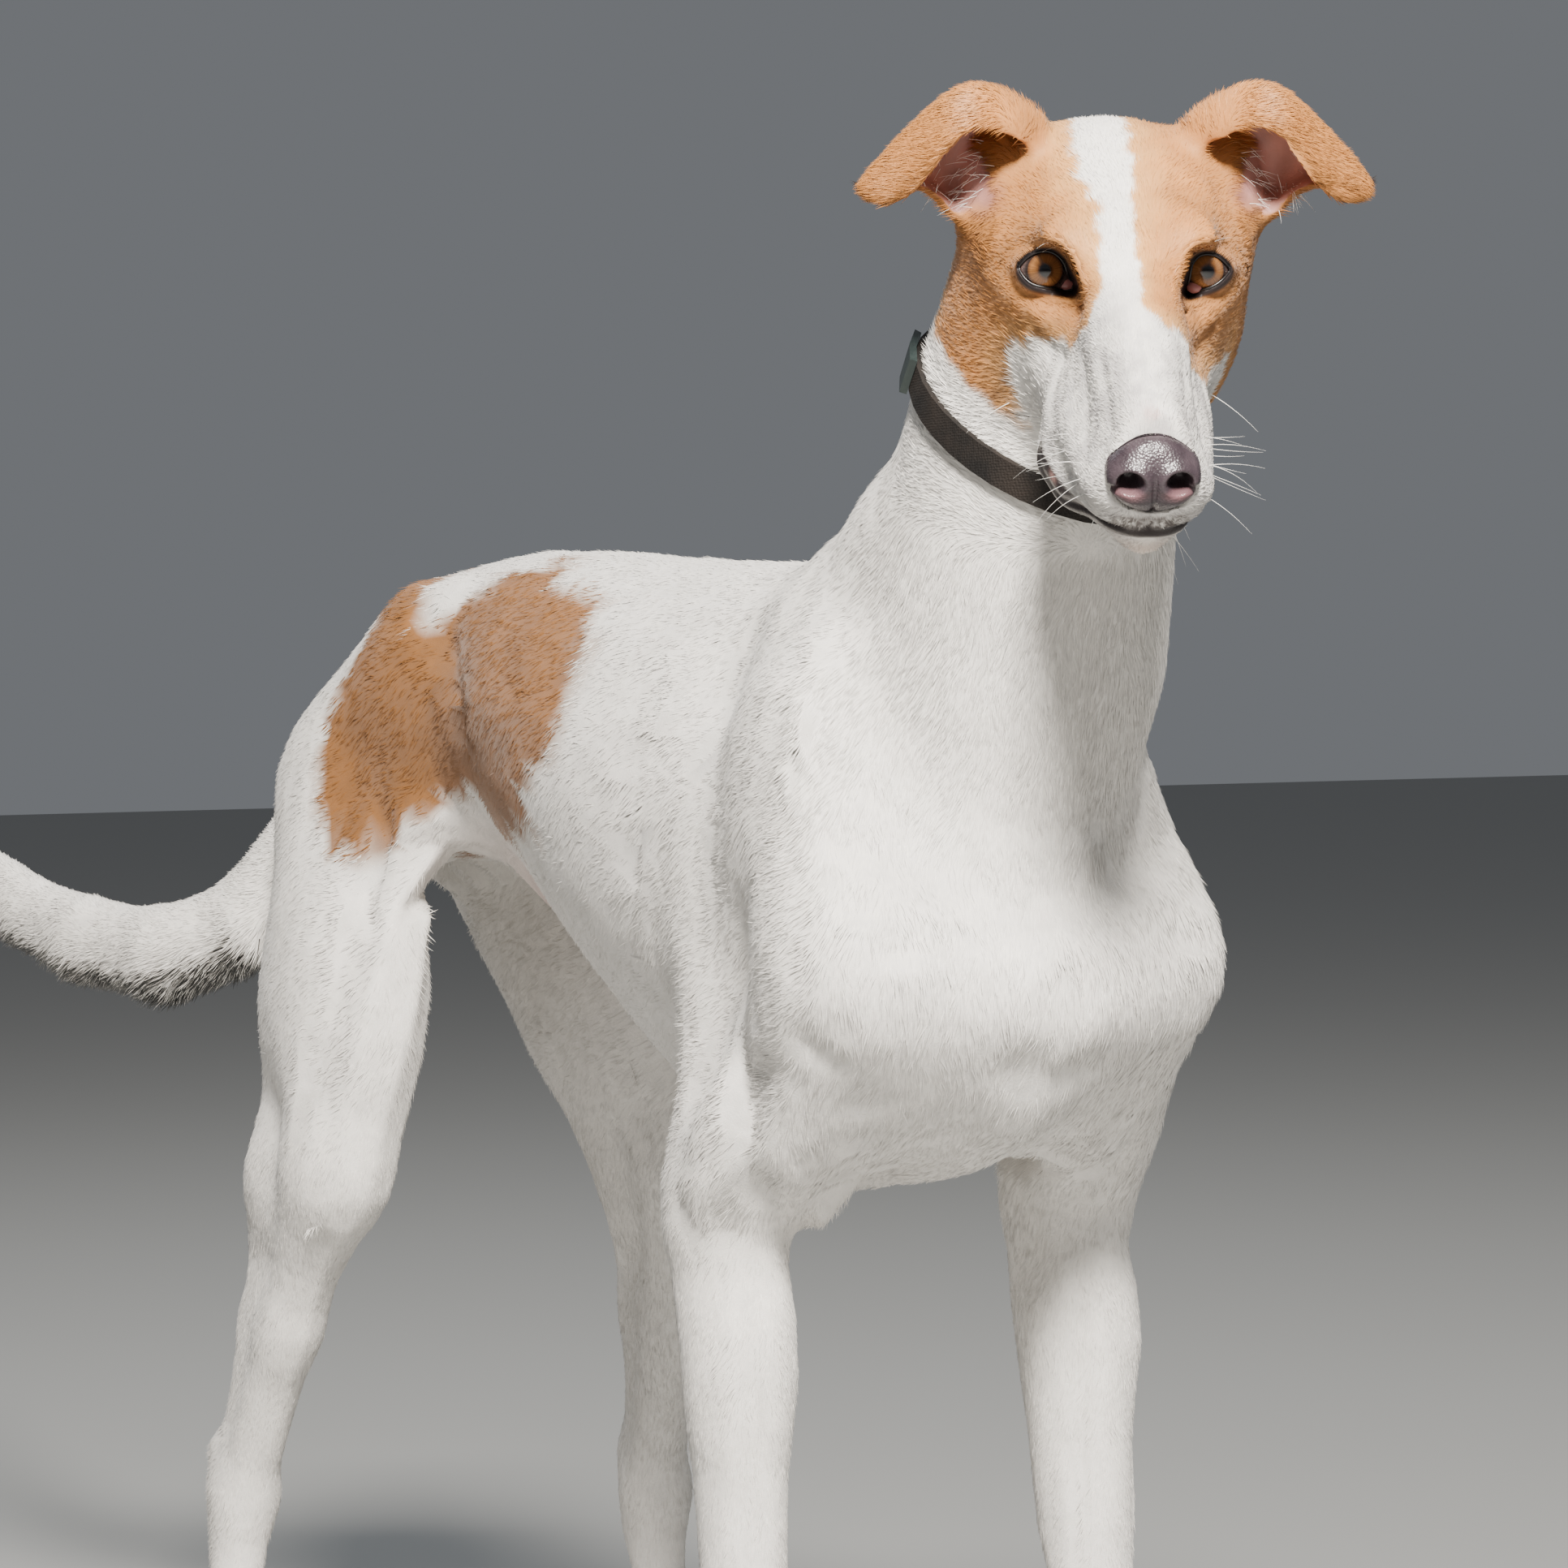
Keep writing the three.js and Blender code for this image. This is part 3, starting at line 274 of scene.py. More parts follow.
# Each place is smoothed as much as it bears: flat on the body, less on the head, little on ears and feet.
# The solids' own lids, lips and knees are smoothed away, because they are modelled again below.
eyes = {}
for side_name, side in (("right", -1), ("left", 1)):
    low, high = (np.array(corner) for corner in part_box("eye_" + side_name))
    eyes[side_name] = {"side": side, "centre": (low + high) / 2, "radius": (high - low)[2] / 2}
co = places_of(skin)
along, left, up = head_sizes(co)
forward, outward, height = body_sizes(co)
on_head = ease(along, -120, -95) * ease(up, -130, -100) * (forward > 280)
on_ear = on_head * ease(np.abs(left), 50, 58) * ease(up, -8, 4) * ease(-along, 25, 34)
on_foot = ease(-height, -75, -55)
weight = (1 - 0.35 * on_head) * (1 - 0.15 * on_ear) * (1 - 0.75 * on_foot)
smooth(skin, 60, weight, 0.5)
near_eye = np.zeros(len(co))
for eye in eyes.values():
    away = np.linalg.norm(co - eye["centre"], axis=1) * 1000
    near_eye = np.maximum(near_eye, ease(-away, -30, -17))
near_lips = ease(along, 30, 45) * ease(-np.abs(up + 55), -16, -8) * ease(-np.abs(left), -60, -45)
smooth(skin, 160, np.maximum(near_eye, near_lips), 0.0)

thin = (1 - on_head) * (1 - on_foot)
thin_out = skin.vertex_groups.new(name="thin_out")
for step in range(0, 11):
    chosen = np.where(np.round(thin * 10) == step)[0]
    if len(chosen):
        thin_out.add(chosen.tolist(), step / 10, "REPLACE")
decimate = skin.modifiers.new("thin out", "DECIMATE")
decimate.ratio = 0.20
decimate.vertex_group = thin_out.name
decimate.vertex_group_factor = 1.0
only(skin)
bpy.ops.object.modifier_apply(modifier=decimate.name)


def refine(piece, wanted):
    """Divides the faces whose middle is wanted."""
    only(piece)
    bpy.ops.object.mode_set(mode="EDIT")
    bpy.ops.mesh.select_all(action="DESELECT")
    bpy.ops.object.mode_set(mode="OBJECT")
    middles = np.empty(len(piece.data.polygons) * 3)
    piece.data.polygons.foreach_get("center", middles)
    piece.data.polygons.foreach_set("select", wanted(middles.reshape(-1, 3)))
    bpy.ops.object.mode_set(mode="EDIT")
    bpy.ops.mesh.select_mode(type="FACE")
    bpy.ops.mesh.subdivide(number_cuts=1, smoothness=0.0)
    bpy.ops.mesh.select_mode(type="VERT")
    bpy.ops.object.mode_set(mode="OBJECT")


lip_line = [
    (50, 33, -49.5), (62, 30, -53), (78, 26, -55.5), (94, 23, -55.5),
    (108, 18, -54), (117, 10, -53), (120, 0, -52.5),
]


def far_from_line(points, line, scale=(1, 1, 1)):
    """Shortest way in mm from points given as (along, |left|, up) to a line of such points."""
    best = np.full(len(points), 1e9)
    points = points * np.array(scale)
    for a, b in zip(line[:-1], line[1:]):
        a = np.array(a, float) * scale
        b = np.array(b, float) * scale
        t = np.clip((points - a) @ (b - a) / ((b - a) @ (b - a)), 0, 1)
        best = np.minimum(best, np.linalg.norm(points - a - t[:, None] * (b - a), axis=1))
    return best


def far_from_lips(a, l, u):
    return far_from_line(np.stack([a, np.abs(l), u], 1), lip_line, (1, 0.3, 1))


def by_eyes(reach):
    return lambda middles: np.any(
        [np.linalg.norm(middles - eye["centre"], axis=1) < reach for eye in eyes.values()], axis=0
    )


def by_lips(middles):
    a, l, u = head_sizes(middles)
    return (far_from_lips(a, l, u) < 7) & (a > 40)


refine(skin, by_lips)
refine(skin, by_eyes(0.026))

# Modelling of the face, in mm: brows, temples, cheeks, the folds of the muzzle, lips and chin.
# The numbers are places along the muzzle, to the side and up, then widths, then how far the skin moves.
co = places_of(skin)
normal = normals_of(skin)
a, l, u = head_sizes(co)
in_face = ease(a, -110, -90) * (body_sizes(co)[0] > 280)
half = np.stack([a, np.abs(l), u], 1)


def swell(middle, size, amount):
    """A soft swelling or hollow of both sides of the face."""
    away = (half - np.array(middle)) / np.array(size)
    return amount * np.exp(-(away**2).sum(1))


def ridge(line, width, amount):
    return amount * bell(far_from_line(half, line) / width)


def lip(shift, width, amount):
    """A long swelling or groove that follows the lips, shifted up from their meeting line."""
    return amount * bell(far_from_lips(a, l, u - shift) / width) * ease(a, 44, 54)


moved = (
    swell((15, 25, -2), (17, 10, 10), -8.5)
    + swell((32, 24, -14), (14, 8, 9), -1.5)
    + swell((4, 25, 16), (10, 9, 7), 1.4)
    + swell((-32, 44, 20), (16, 12, 12), -1.6)
    + swell((14, 31, -24), (16, 8, 10), -2.2)
    + swell((-42, 48, -34), (20, 14, 22), 1.4)
    + ridge([(8, 33, -15), (-14, 43, -13), (-40, 50, -8)], 5.5, 1.5)
    + ridge([(34, 0, 20), (0, 0, 30), (-60, 0, 38)], 5, -1.1)
    + ridge([(26, 28, -22), (40, 28, -31), (60, 28, -38), (84, 27, -44)], 3.6, -1.0)
    + ridge([(40, 24, -18), (58, 25, -26), (78, 25, -33), (98, 24, -40)], 3.0, 0.6)
    + ridge([(50, 21, -10), (74, 21, -19), (92, 22, -27), (108, 22, -34)], 2.8, -0.8)
    + ridge([(60, 18, -5), (84, 19, -13), (104, 18, -22)], 2.8, 0.45)
    + ridge([(70, 16, -3), (94, 15, -10), (113, 14, -17)], 2.4, -0.6)
    + ridge([(34, 30, -34), (50, 30, -42), (66, 30, -46)], 3.4, 0.5)
    + ridge([(6, 38, -19), (20, 32, -24), (36, 27, -20)], 3.6, -1.2)
    + lip(4.5, 3.2, 1.2)
    + lip(-3.6, 2.6, 0.6)
    + lip(0, 1.3, -2.6)
    + ridge([(134, 0, -40), (122, 0, -52)], 1.2, -1.2)
    + swell((104, 0, -67), (12, 12, 6), 0.8)
)
# the lip hangs out at the corners of the mouth, more on the right
hanging = np.where(l < 0, 10.5, 4.5)
moved += hanging * swell((50, 27, -55), (22, 15, 9), 1.0)
moved += 0.75 * hanging * swell((77, 26, -58), (16, 13, 7), 1.0)
moved += 0.45 * hanging * swell((50, 27, -40), (28, 16, 15), 1.0)
co += normal * (moved * in_face / 1000)[:, None]
# the front of the muzzle behind the nose leather is drawn in, so that the nostrils are open
behind_nose = ease(-np.hypot(l / 15.6, (u + 28.4) / 13.2), -1.0, -0.86) * ease(a, 100, 110)
co += head_way(-1, 0, 0) * (behind_nose * np.maximum(a - 110, 0) / 1000)[:, None]

# Modelling of the body, in mm: the edge of the shoulder, creases of neck, chest and flank, muscles and ribs.
# Each is a line of places forward, to the left and up, with its width and how far the skin moves.
forward, outward, height = body_sizes(co)
trunk = np.stack([forward, outward, height], 1)
mirrored = np.stack([forward, -outward, height], 1)


def crease(line, width, amount, both=True):
    """A long groove (or a ridge, above zero) on the right side of the body, and its like on the left."""
    depth = bell(far_from_line(trunk, line) / width)
    if both:
        depth = np.maximum(depth, bell(far_from_line(mirrored, line) / width))
    return amount * depth


below_head = 1 - in_face
creases = [
    (
        [
            (184, -38, 682), (176, -62, 650), (186, -80, 622),
            (204, -92, 580), (198, -92, 528), (208, -100, 470),
        ],
        22, -5.0, True,
    ),
    ([(206, -44, 676), (206, -72, 640), (222, -94, 600), (232, -98, 560)], 22, 2.0, True),
    ([(232, -36, 677), (262, -65, 640), (285, -84, 596)], 8, 3.6, True),
    ([(299, -50, 662), (310, -49, 631), (319, -43, 595), (327, -40, 555), (343, -43, 522)], 10, -5.4, True),
    ([(342, -38, 700), (344, -32, 667), (342, -26, 631), (340, -13, 598), (338, 4, 567)], 7, -3.9, False),
    ([(356, 30, 660), (350, 36, 620), (338, 31, 587), (341, 21, 553), (354, 8, 521)], 8, -7.5, False),
    ([(354, -19, 510), (347, -13, 485), (330, -7, 460), (300, -4, 440)], 6, -5.4, False),
    ([(349, -27, 494), (338, -41, 482), (319, -51, 465), (290, -54, 442), (262, -52, 424)], 8, -8.2, True),
    ([(344, -52, 500), (326, -66, 482), (300, -72, 458)], 14, 4.5, True),
    ([(300, -101, 560), (310, -100, 517), (302, -92, 480), (280, -80, 446)], 13, -3.0, True),
    ([(247, -101, 484), (256, -99, 450), (244, -84, 420)], 7, -3.6, True),
    ([(222, -104, 500), (226, -106, 460), (222, -104, 424)], 12, 3.9, True),
    ([(232, -82, 380), (230, -84, 330), (227, -82, 270)], 5, -2.4, True),
    (
        [(-172, -54, 676), (-122, -72, 640), (-104, -76, 604), (-118, -70, 566), (-128, -66, 540)],
        12, -5.0, True,
    ),
    ([(-196, -74, 560), (-200, -86, 509), (-206, -98, 463), (-216, -104, 424)], 9, -4.5, True),
    ([(-150, -92, 560), (-150, -104, 500), (-160, -108, 440)], 20, 3.8, True),
    ([(-176, -46, 690), (-168, -52, 676)], 10, 4.5, True),
]
body_moved = sum(crease(*numbers) for numbers in creases)
for rib in range(7):
    top = 128 - 26 * rib
    line = [(top - 10, -58, 664), (top + 16, -86, 610), (top + 20, -92, 560), (top + 4, -84, 506)]
    body_moved += crease(line, 6.5, 1.7 - 0.13 * rib)
body_moved += (ripple(co, 70, 21) * 0.5 + ripple(co, 28, 22) * 0.22) * ease(height, 60, 160)
crease_strength = 1.35
co += normal * (crease_strength * body_moved * below_head / 1000)[:, None]

co = co - normals_of(skin) * coat_depth
set_places(skin, co)


def way_to_outline(x, y, outline):
    """Signed distance to a closed outline, positive inside it."""
    best = np.full(len(x), 1e9)
    inside = np.zeros(len(x), bool)
    for (x0, y0), (x1, y1) in zip(outline, outline[1:] + outline[:1]):
        dx, dy = x1 - x0, y1 - y0
        t = np.clip(((x - x0) * dx + (y - y0) * dy) / (dx * dx + dy * dy), 0, 1)
        best = np.minimum(best, np.hypot(x - x0 - t * dx, y - y0 - t * dy))
        if dy:
            crosses = (y0 > y) != (y1 > y)
            inside ^= crosses & (x < x0 + (y - y0) * dx / dy)
    return np.where(inside, best, -best)


# Lids: a rounded band of skin that lies on the ball of the eye and flows out into the face. The opening is an
# almond, low at its inner corner, given in mm out to its outer corner and up from the middle of the iris.
lid_width = 7.0
way_to_viewer = (0.922, -0.102, 0.373)
lid_roll = 0.7
lid_thick = 0.9
iris_way = {"right": (0.932, -0.052, 0.352), "left": (0.950, 0.095, 0.290)}
almond = {
    "right": [
        (10.4, 1.6), (9.2, 3.4), (6.4, 5.8), (2.4, 7.4), (-1.6, 7.4), (-4.8, 5.8),
        (-7.4, 2.7), (-8.9, -1.4), (-9.9, -4.6), (-10.6, -7.4), (-8.8, -7.9),
        (-4.8, -7.6), (0.0, -6.9), (4.8, -5.6), (8.0, -3.3), (10.0, -0.4),
    ],
    "left": [
        (8.8, 0.9), (7.4, 3.0), (5.4, 4.9), (2.6, 6.5), (-0.6, 7.0), (-3.4, 6.3),
        (-5.6, 4.2), (-6.7, 1.4), (-7.4, -2.2), (-8.2, -5.6), (-8.0, -7.8),
        (-6.0, -8.2), (-2.6, -7.2), (0.8, -6.3), (4.4, -4.4), (7.4, -1.6),
    ],
}
for side_name, eye in eyes.items():
    out_way = head_way(*way_to_viewer)
    across = np.cross((0, 0, 1.0), out_way) * eye["side"]
    across /= np.linalg.norm(across)
    upward = np.cross(out_way, across) * eye["side"]
    eye["axes"] = (across, upward, out_way)
    eye["gaze"] = head_way(*iris_way[side_name])
    ball = eye["radius"] * 1000
    middle = np.array((eye["gaze"] @ across, eye["gaze"] @ upward)) * ball
    corners = np.array(almond[side_name]) + middle
    curve = []
    for k in range(len(corners)):
        p0, p1, p2, p3 = (corners[(k + n) % len(corners)] for n in (-1, 0, 1, 2))
        for t in np.arange(6) / 6:
            bend = (2 * p0 - 5 * p1 + 4 * p2 - p3) * t * t + (3 * p1 - p0 - 3 * p2 + p3) * t**3
            curve.append((2 * p1 + (p2 - p0) * t + bend) / 2)
    curve = np.array(curve)
    run = np.roll(curve, -1, 0) - np.roll(curve, 1, 0)
    away = np.stack([run[:, 1], -run[:, 0]], 1)
    away /= np.linalg.norm(away, axis=1)[:, None]
    away *= np.sign((away * (curve - curve.mean(0))).sum())
    radial = curve - curve.mean(0)
    away = 0.6 * away + 0.4 * radial / np.linalg.norm(radial, axis=1)[:, None]
    for _ in range(3):
        away = (away + (np.roll(away, 1, 0) + np.roll(away, -1, 0)) / 2) / 2
        away /= np.linalg.norm(away, axis=1)[:, None]
    eye.update(curve=curve, away=away, outline=[tuple(p) for p in curve[::2]])


def lid_gap(points, eye):
    """Way in mm from the edge of the opening that the viewer sees, negative inside it, and place and height."""
    q = (points - eye["centre"]) * 1000
    x, y, z = (q @ way for way in eye["axes"])
    gap = np.full(len(points), 99.0)
    near = (np.hypot(x, y) < 34) & (np.abs(z) < 34)
    gap[near] = -way_to_outline(x[near], y[near], eye["outline"])
    return gap, x, y, z


def ball_height(eye, places):
    """Height of the ball under places of the opening's plane; beyond the ball it stays level."""
    ball = eye["radius"] * 1000
    rho = np.minimum(np.linalg.norm(places, axis=-1), 0.93 * ball)
    return np.sqrt(ball**2 - rho**2)


def in_eye(eye, places, height):
    """Points at places and heights over the opening's plane."""
    across, upward, out_way = eye["axes"]
    q = places[:, [0]] * across + places[:, [1]] * upward + np.asarray(height)[:, None] * out_way
    return eye["centre"] + q / 1000


def skin_height(eye, places, tree):
    """Height of the face over the opening's plane at places."""
    found = []
    for spot in in_eye(eye, places, np.full(len(places), 60.0)):
        hit = tree.ray_cast(Vector(spot), Vector(-eye["axes"][2]), 0.09)
        found.append((np.array(hit[0]) - eye["centre"]) @ eye["axes"][2] * 1000 if hit[0] else np.nan)
    found = np.array(found)
    known = np.where(~np.isnan(found))[0]
    return np.interp(np.arange(len(found)), known, found[known], period=len(found))


def round_the_eye(values, times):
    for _ in range(times):
        values = (values + (np.roll(values, 1) + np.roll(values, -1)) / 2) / 2
    return values


def lid_height(eye, k, g):
    """Height of the lid g mm away from the opening's edge, at the points k of its outline."""
    edge, outer, slope = (values[k] for values in eye["rise"])
    t = np.clip(g, 0, lid_width) / lid_width
    near, far = 2 * t**3 - 3 * t**2 + 1, 3 * t**2 - 2 * t**3
    height = near * (edge + 0.25) + far * outer + (t**3 - t**2) * slope
    return height + lid_roll * (1 - np.exp(-t * lid_width / lid_roll)) * (1 - t) ** 2


# rows of the band, in mm away from the edge; its back lies lid_thick behind its face
lid_rows = (-0.5, -0.1, 0.35, 0.8, 1.4, 2.2, 3.2, 4.3, 5.6, 7.0)
face_corners = [tuple(face.vertices) for face in skin.data.polygons]
face_tree = BVHTree.FromPolygons([tuple(p) for p in co], face_corners)
lid_meshes = []
for side_name, eye in eyes.items():
    curve, away = eye["curve"], eye["away"]
    count = len(curve)
    edge = ball_height(eye, curve)
    outer = round_the_eye(skin_height(eye, curve + away * lid_width, face_tree), 6)
    near_outer = round_the_eye(skin_height(eye, curve + away * (lid_width - 1.5), face_tree), 6)
    slope = np.clip((outer - near_outer) / 1.5 * lid_width, -40, 40)
    eye["rise"] = (edge, outer, slope)
    points = []
    for under in (False, True):
        for g in (lid_rows[::-1][:-2] if under else lid_rows):
            height = lid_height(eye, np.arange(count), np.full(count, g))
            if g > 2:
                face = round_the_eye(skin_height(eye, curve + away * g, face_tree), 3)
                share = ease(np.array(g), 1.8, 4.3)
                height = height + (face + 0.35 - 0.85 * ease(np.array(g), 4.6, 7.0) - height) * share
            tucked = 0.9 if g < -0.3 else 0.35 if g < 0 else 0.0
            height = height - tucked - (lid_thick if under else 0.0)
            points.append(in_eye(eye, curve + away * g, height))
    rows = len(points)
    points = np.concatenate(points)
    faces = []
    for i in range(rows):
        for k in range(count):
            n, j = (k + 1) % count, (i + 1) % rows
            faces.append((i * count + k, i * count + n, j * count + n, j * count + k))
    lids = new_piece("lids", points, faces)
    turn_outwards(lids)
    lid_meshes.append(lids)

# under the lids the face is drawn back behind the ball's front
refine(skin, by_eyes(0.024))
co = places_of(skin)
for eye in eyes.values():
    gap, x, y, z = lid_gap(co, eye)
    places = np.stack([x, y], 1)
    behind = ball_height(eye, places) - 2.6 + 1.2 * ease(gap, 0, 3)
    near = np.where((gap > 0) & (gap < 9))[0]
    nearest = np.argmin(np.linalg.norm(places[near, None] - eye["curve"][None], axis=2), axis=1)
    behind[near] = np.minimum(behind[near], lid_height(eye, nearest, gap[near]) - 1.6)
    drawn = np.minimum(z, behind)
    share = ease(-gap, -4.8, -3.4) * (z > -16)
    co = co + eye["axes"][2] * ((drawn - z) * share / 1000)[:, None]
set_places(skin, co)
only(skin, *lid_meshes)
bpy.ops.object.join()

# Colour of the hide and its hair: white, with a tan mask, tan ears and a tan patch on the right loin.
# Skin and hair take the same colours, worked out from a few outlines in mm.
white_hair = np.array((0.82, 0.785, 0.735))
tan_hair = np.array((0.46, 0.190, 0.050))
pale_tan = np.array((0.68, 0.37, 0.135))
# painted shade: the darkest tan, laid along the cheek bone, the jaw and round the eyes
painted_face_shade = np.array((0.15, 0.070, 0.032))
grey_skin = np.array((0.50, 0.47, 0.46))
pink_skin = np.array((0.58, 0.33, 0.29))
dark_skin = np.array((0.030, 0.022, 0.022))
ear_pink = np.array((0.50, 0.26, 0.22))
# painted shade: the darker lining deep in the ear's cup, towards the canal
painted_ear_shade = np.array((0.16, 0.055, 0.06))
chin_tan = np.array((0.60, 0.43, 0.33))
# partly short dark hairs, partly painted shade: the dark band under the nose, above the mouth
lip_hair_and_shade = np.array((0.07, 0.05, 0.045))
sore_red = np.array((0.50, 0.10, 0.09))

mask_right = [
    (-96, 12), (-74, 13), (-44, 15), (-25, 14), (-4, 12), (13, 14), (39, 19), (48, 42), (34, 70),
    (4, 77), (-10, 83), (-7, 92), (0, 101), (-14, 110), (-44, 108), (-66, 94), (-78, 74), (-100, 60),
]
mask_left = [
    (-96, 3), (-58, 3), (-24, 2.6), (26, 1.5), (58, 1), (65, 18), (58, 46), (64, 66), (42, 82),
    (20, 90), (4, 86), (-14, 84), (-14, 110), (-44, 108), (-66, 94), (-78, 74), (-100, 60),
]
loin_patch = [
    (-196, 700), (-184, 668), (-160, 676), (-93, 700), (-62, 694), (-48, 684), (0, 684),
    (30, 668), (42, 640), (58, 612), (38, 596), (14, 590), (12, 568), (-40, 560), (-100, 560),
    (-118, 590), (-177, 566), (-213, 545), (-240, 548), (-246, 564), (-262, 576), (-250, 590),
    (-262, 600), (-258, 628), (-236, 660), (-226, 690),
]


hanging_lip = [
    (50, 35, -57), (56, 35.3, -56), (68, 32.7, -55.5), (77.7, 29.1, -58), (86, 24.7, -59.5), (94, 21, -61),
]


def far_from_hanging_lip(a, l, u):
    """Distance in mm from the dark lip that hangs out near the corner of the mouth."""
    return far_from_line(np.stack([a, np.abs(l), u], 1), hanging_lip)


def hide_colour(points, normal):
    """Colour of hair at points of the skin, and how bare the skin is there."""
    a, l, u = head_sizes(points)
    forward, outward, height = body_sizes(points)
    head_here = ease(a, -112, -98) * ease(u, -125, -110) * (forward > 290)
    behind_jaw = (forward - 331) * 0.6 + (height - 766) * 0.8
    head_here *= ease(behind_jaw + ripple(points, 14, 2) * 1.5, -3, 2)
    # round the head: arc in mm from the middle line of the brow, over the side, to the throat
    around = np.degrees(np.arctan2(np.abs(l), u + 12)) / 180 * 125
    wavy = ripple(points, 16, 3) * 1.6 + ripple(points, 6, 4) * 0.9
    right = way_to_outline(a, around, mask_right) + wavy
    left = way_to_outline(a, around, mask_left) + wavy
    tan = np.where(l < 0, ease(right, -1.5, 1.5), ease(left, -1.5, 1.5)) * head_here
    ear_out = ease(np.abs(l), 42, 50) * ease(u, -12, 2) * ease(-a, 22, 34)
    ear = np.maximum(ear_out, ease(np.abs(l), 24, 30) * ease(u, 28, 36) * ease(-a, 40, 50)) * (forward > 290)
    tan = np.maximum(tan, ear)
    patch = way_to_outline(forward, height, loin_patch) + ripple(points, 22, 5) * 4 + ripple(points, 9, 6) * 2
    patch = ease(patch, -2.5, 2.5) * ease(-outward, 2, 14)
    tan = np.maximum(tan, patch)
    shade = np.clip(0.5 + 0.35 * ripple(points, 40, 8) + 0.2 * ripple(points, 11, 9), 0, 1)
    brown = tan_hair * (0.86 + 0.28 * shade)[:, None]
    near_blaze = bell(np.clip(np.where(l < 0, right, left), 0, 99) / 9) * head_here * (1 - ear)
    brown = mixed(brown, pale_tan, 0.6 * near_blaze)
    brown = brown * (1 - 0.46 * (1 - head_here) * (forward < 200))[:, None]
    # painted shade: darker tan along the cheek bone and down the jaw, and round the eyes, where the face's
    # folds and hollows are shaded
    dark = 0.0
    for line, width, amount in (
        ([(14, 36, -22), (-4, 44, -34), (-14, 46, -52), (-22, 44, -70)], 9, 0.55),
        ([(-34, 52, -16), (-40, 54, -44), (-34, 48, -72)], 11, 0.35),
        ([(12, 24, -12), (26, 26, -20)], 4.5, 0.5),
        ([(3, 22, 10), (-2, 30, 17)], 4.0, 0.35),
    ):
        side = np.stack([a, np.abs(l), u], 1)
        dark = np.maximum(dark, amount * bell(far_from_line(side, line) / width))
    brown = mixed(brown, painted_face_shade, dark * head_here * np.clip(0.7 + 0.5 * ripple(points, 9, 12), 0, 1.2))
    pale = white_hair * (0.93 + 0.07 * shade)[:, None]
    speckle = 0.32 + 0.5 * ripple(points, 13, 14) + 0.25 * ripple(points, 5, 15)
    grey = ease(a, 34, 60) * head_here * np.clip(speckle, 0, 0.75)
    grey *= 1 - 0.6 * ease(-np.abs(l), -12, -4) * ease(-a, -90, -70)
    pale = mixed(pale, grey_skin, grey)
    blaze = ease(-np.abs(l), -18, -8) * ease(-a, -60, -30) * head_here
    pale = np.minimum(pale * (1 + 0.09 * blaze)[:, None], 0.93)
    chin = bell((a - 116) / 14, (u + 66) / 7, l / 15) * head_here
    pale = mixed(pale, chin_tan, 0.7 * chin)
    # partly short dark hairs, partly painted shade: a dark band under the nose, above the mouth
    upper_lip = ease(a, 104, 112) * ease(-np.abs(u + 47.5), -5.0, -2.5) * ease(-np.abs(l), -18, -10)
    upper_lip *= np.clip(0.7 + 0.9 * ripple(points, 3.5, 16), 0, 0.92)
    pale = mixed(pale, lip_hair_and_shade, upper_lip)
    colour = mixed(pale, brown, tan)
    # bare places: round the eyes, lips, belly between the thighs, the insides of the ears
    bare = np.zeros(len(points))
    tint = np.tile(dark_skin, (len(points), 1))
    lips = far_from_lips(a, l, u)
    below = far_from_lips(a, l, u + 2.6)
    corner = ease(-a, -92, -66) * np.where(l < 0, 1.0, 0.6)
    under = far_from_lips(a, l, u + 5.5) - 1.5
    from_mouth = np.minimum(lips - 0.8, below + 3 * (1 - corner))
    from_mouth = np.minimum(from_mouth, under + 5 * (1 - corner))
    mouth = ease(-from_mouth, -4.0, -2.0) * ease(a, 43, 48)
    bare = np.maximum(bare, mouth)
    bare = np.maximum(bare, ease(4.2 - far_from_hanging_lip(a, l, u), -0.7, 0.7))
    sore = bell((a - 71) / 3.2, (u + 53.5) / 1.8) * (l < 0)
    tint = mixed(tint, pink_skin * 0.9, 0.8 * sore)
    for eye in eyes.values():
        gap, x, y, z = lid_gap(points, eye)
        wide = 1.5 + 1.1 * ease(-y, -2, 5)
        rim = ease(wide - gap, -0.7, 0.7) * (z > -8) * (np.hypot(x, y) < 22)
        bare = np.maximum(bare, rim)
    colour = mixed(colour, tint, bare)
    # the cup of each ear: bare pinkish skin with painted shade darkening it towards the canal, and pale edges
    for side in (-1, 1):
        to_cavity = in_head(-56, side * 60, 24) - points
        reach = np.linalg.norm(to_cavity, axis=1) * 1000
        facing = (to_cavity * normal).sum(1) * 1000 / np.maximum(reach, 1)
        inner = ease(facing, 0.15, 0.5) * ease(-reach, -36, -26) * ear_out
        inner *= ease(u + 0.7 * (np.abs(l) - 60), 2, 9)
        depth = ease(-np.abs(l), -62, -46)
        lining = mixed(ear_pink, painted_ear_shade, 0.75 * depth)
        lining = lining * (0.8 + 0.4 * np.clip(0.5 + 0.5 * ripple(points, 12, 31), 0, 1))[:, None]
        colour = mixed(colour, lining, inner)
        bare = np.maximum(bare, 0.8 * inner)
    groin = bell((forward + 115) / 62, (height - 505) / 52, outward / 70) * ease(-normal[:, 2], 0.1, 0.6)
    nose_side = ease(-np.hypot(l / 16.4, (u + 28.0) / 14.0), -1.0, -0.9) * ease(a, 96, 104)
    colour = mixed(colour, dark_skin, nose_side)
    bare = np.maximum(bare, nose_side)
    scrape = bell((a - 122) / 5, (u + 5) / 4, (l - 2) / 10) * ease(ripple(points, 7, 33), -0.1, 0.5)
    colour = mixed(colour, sore_red, 0.6 * scrape)
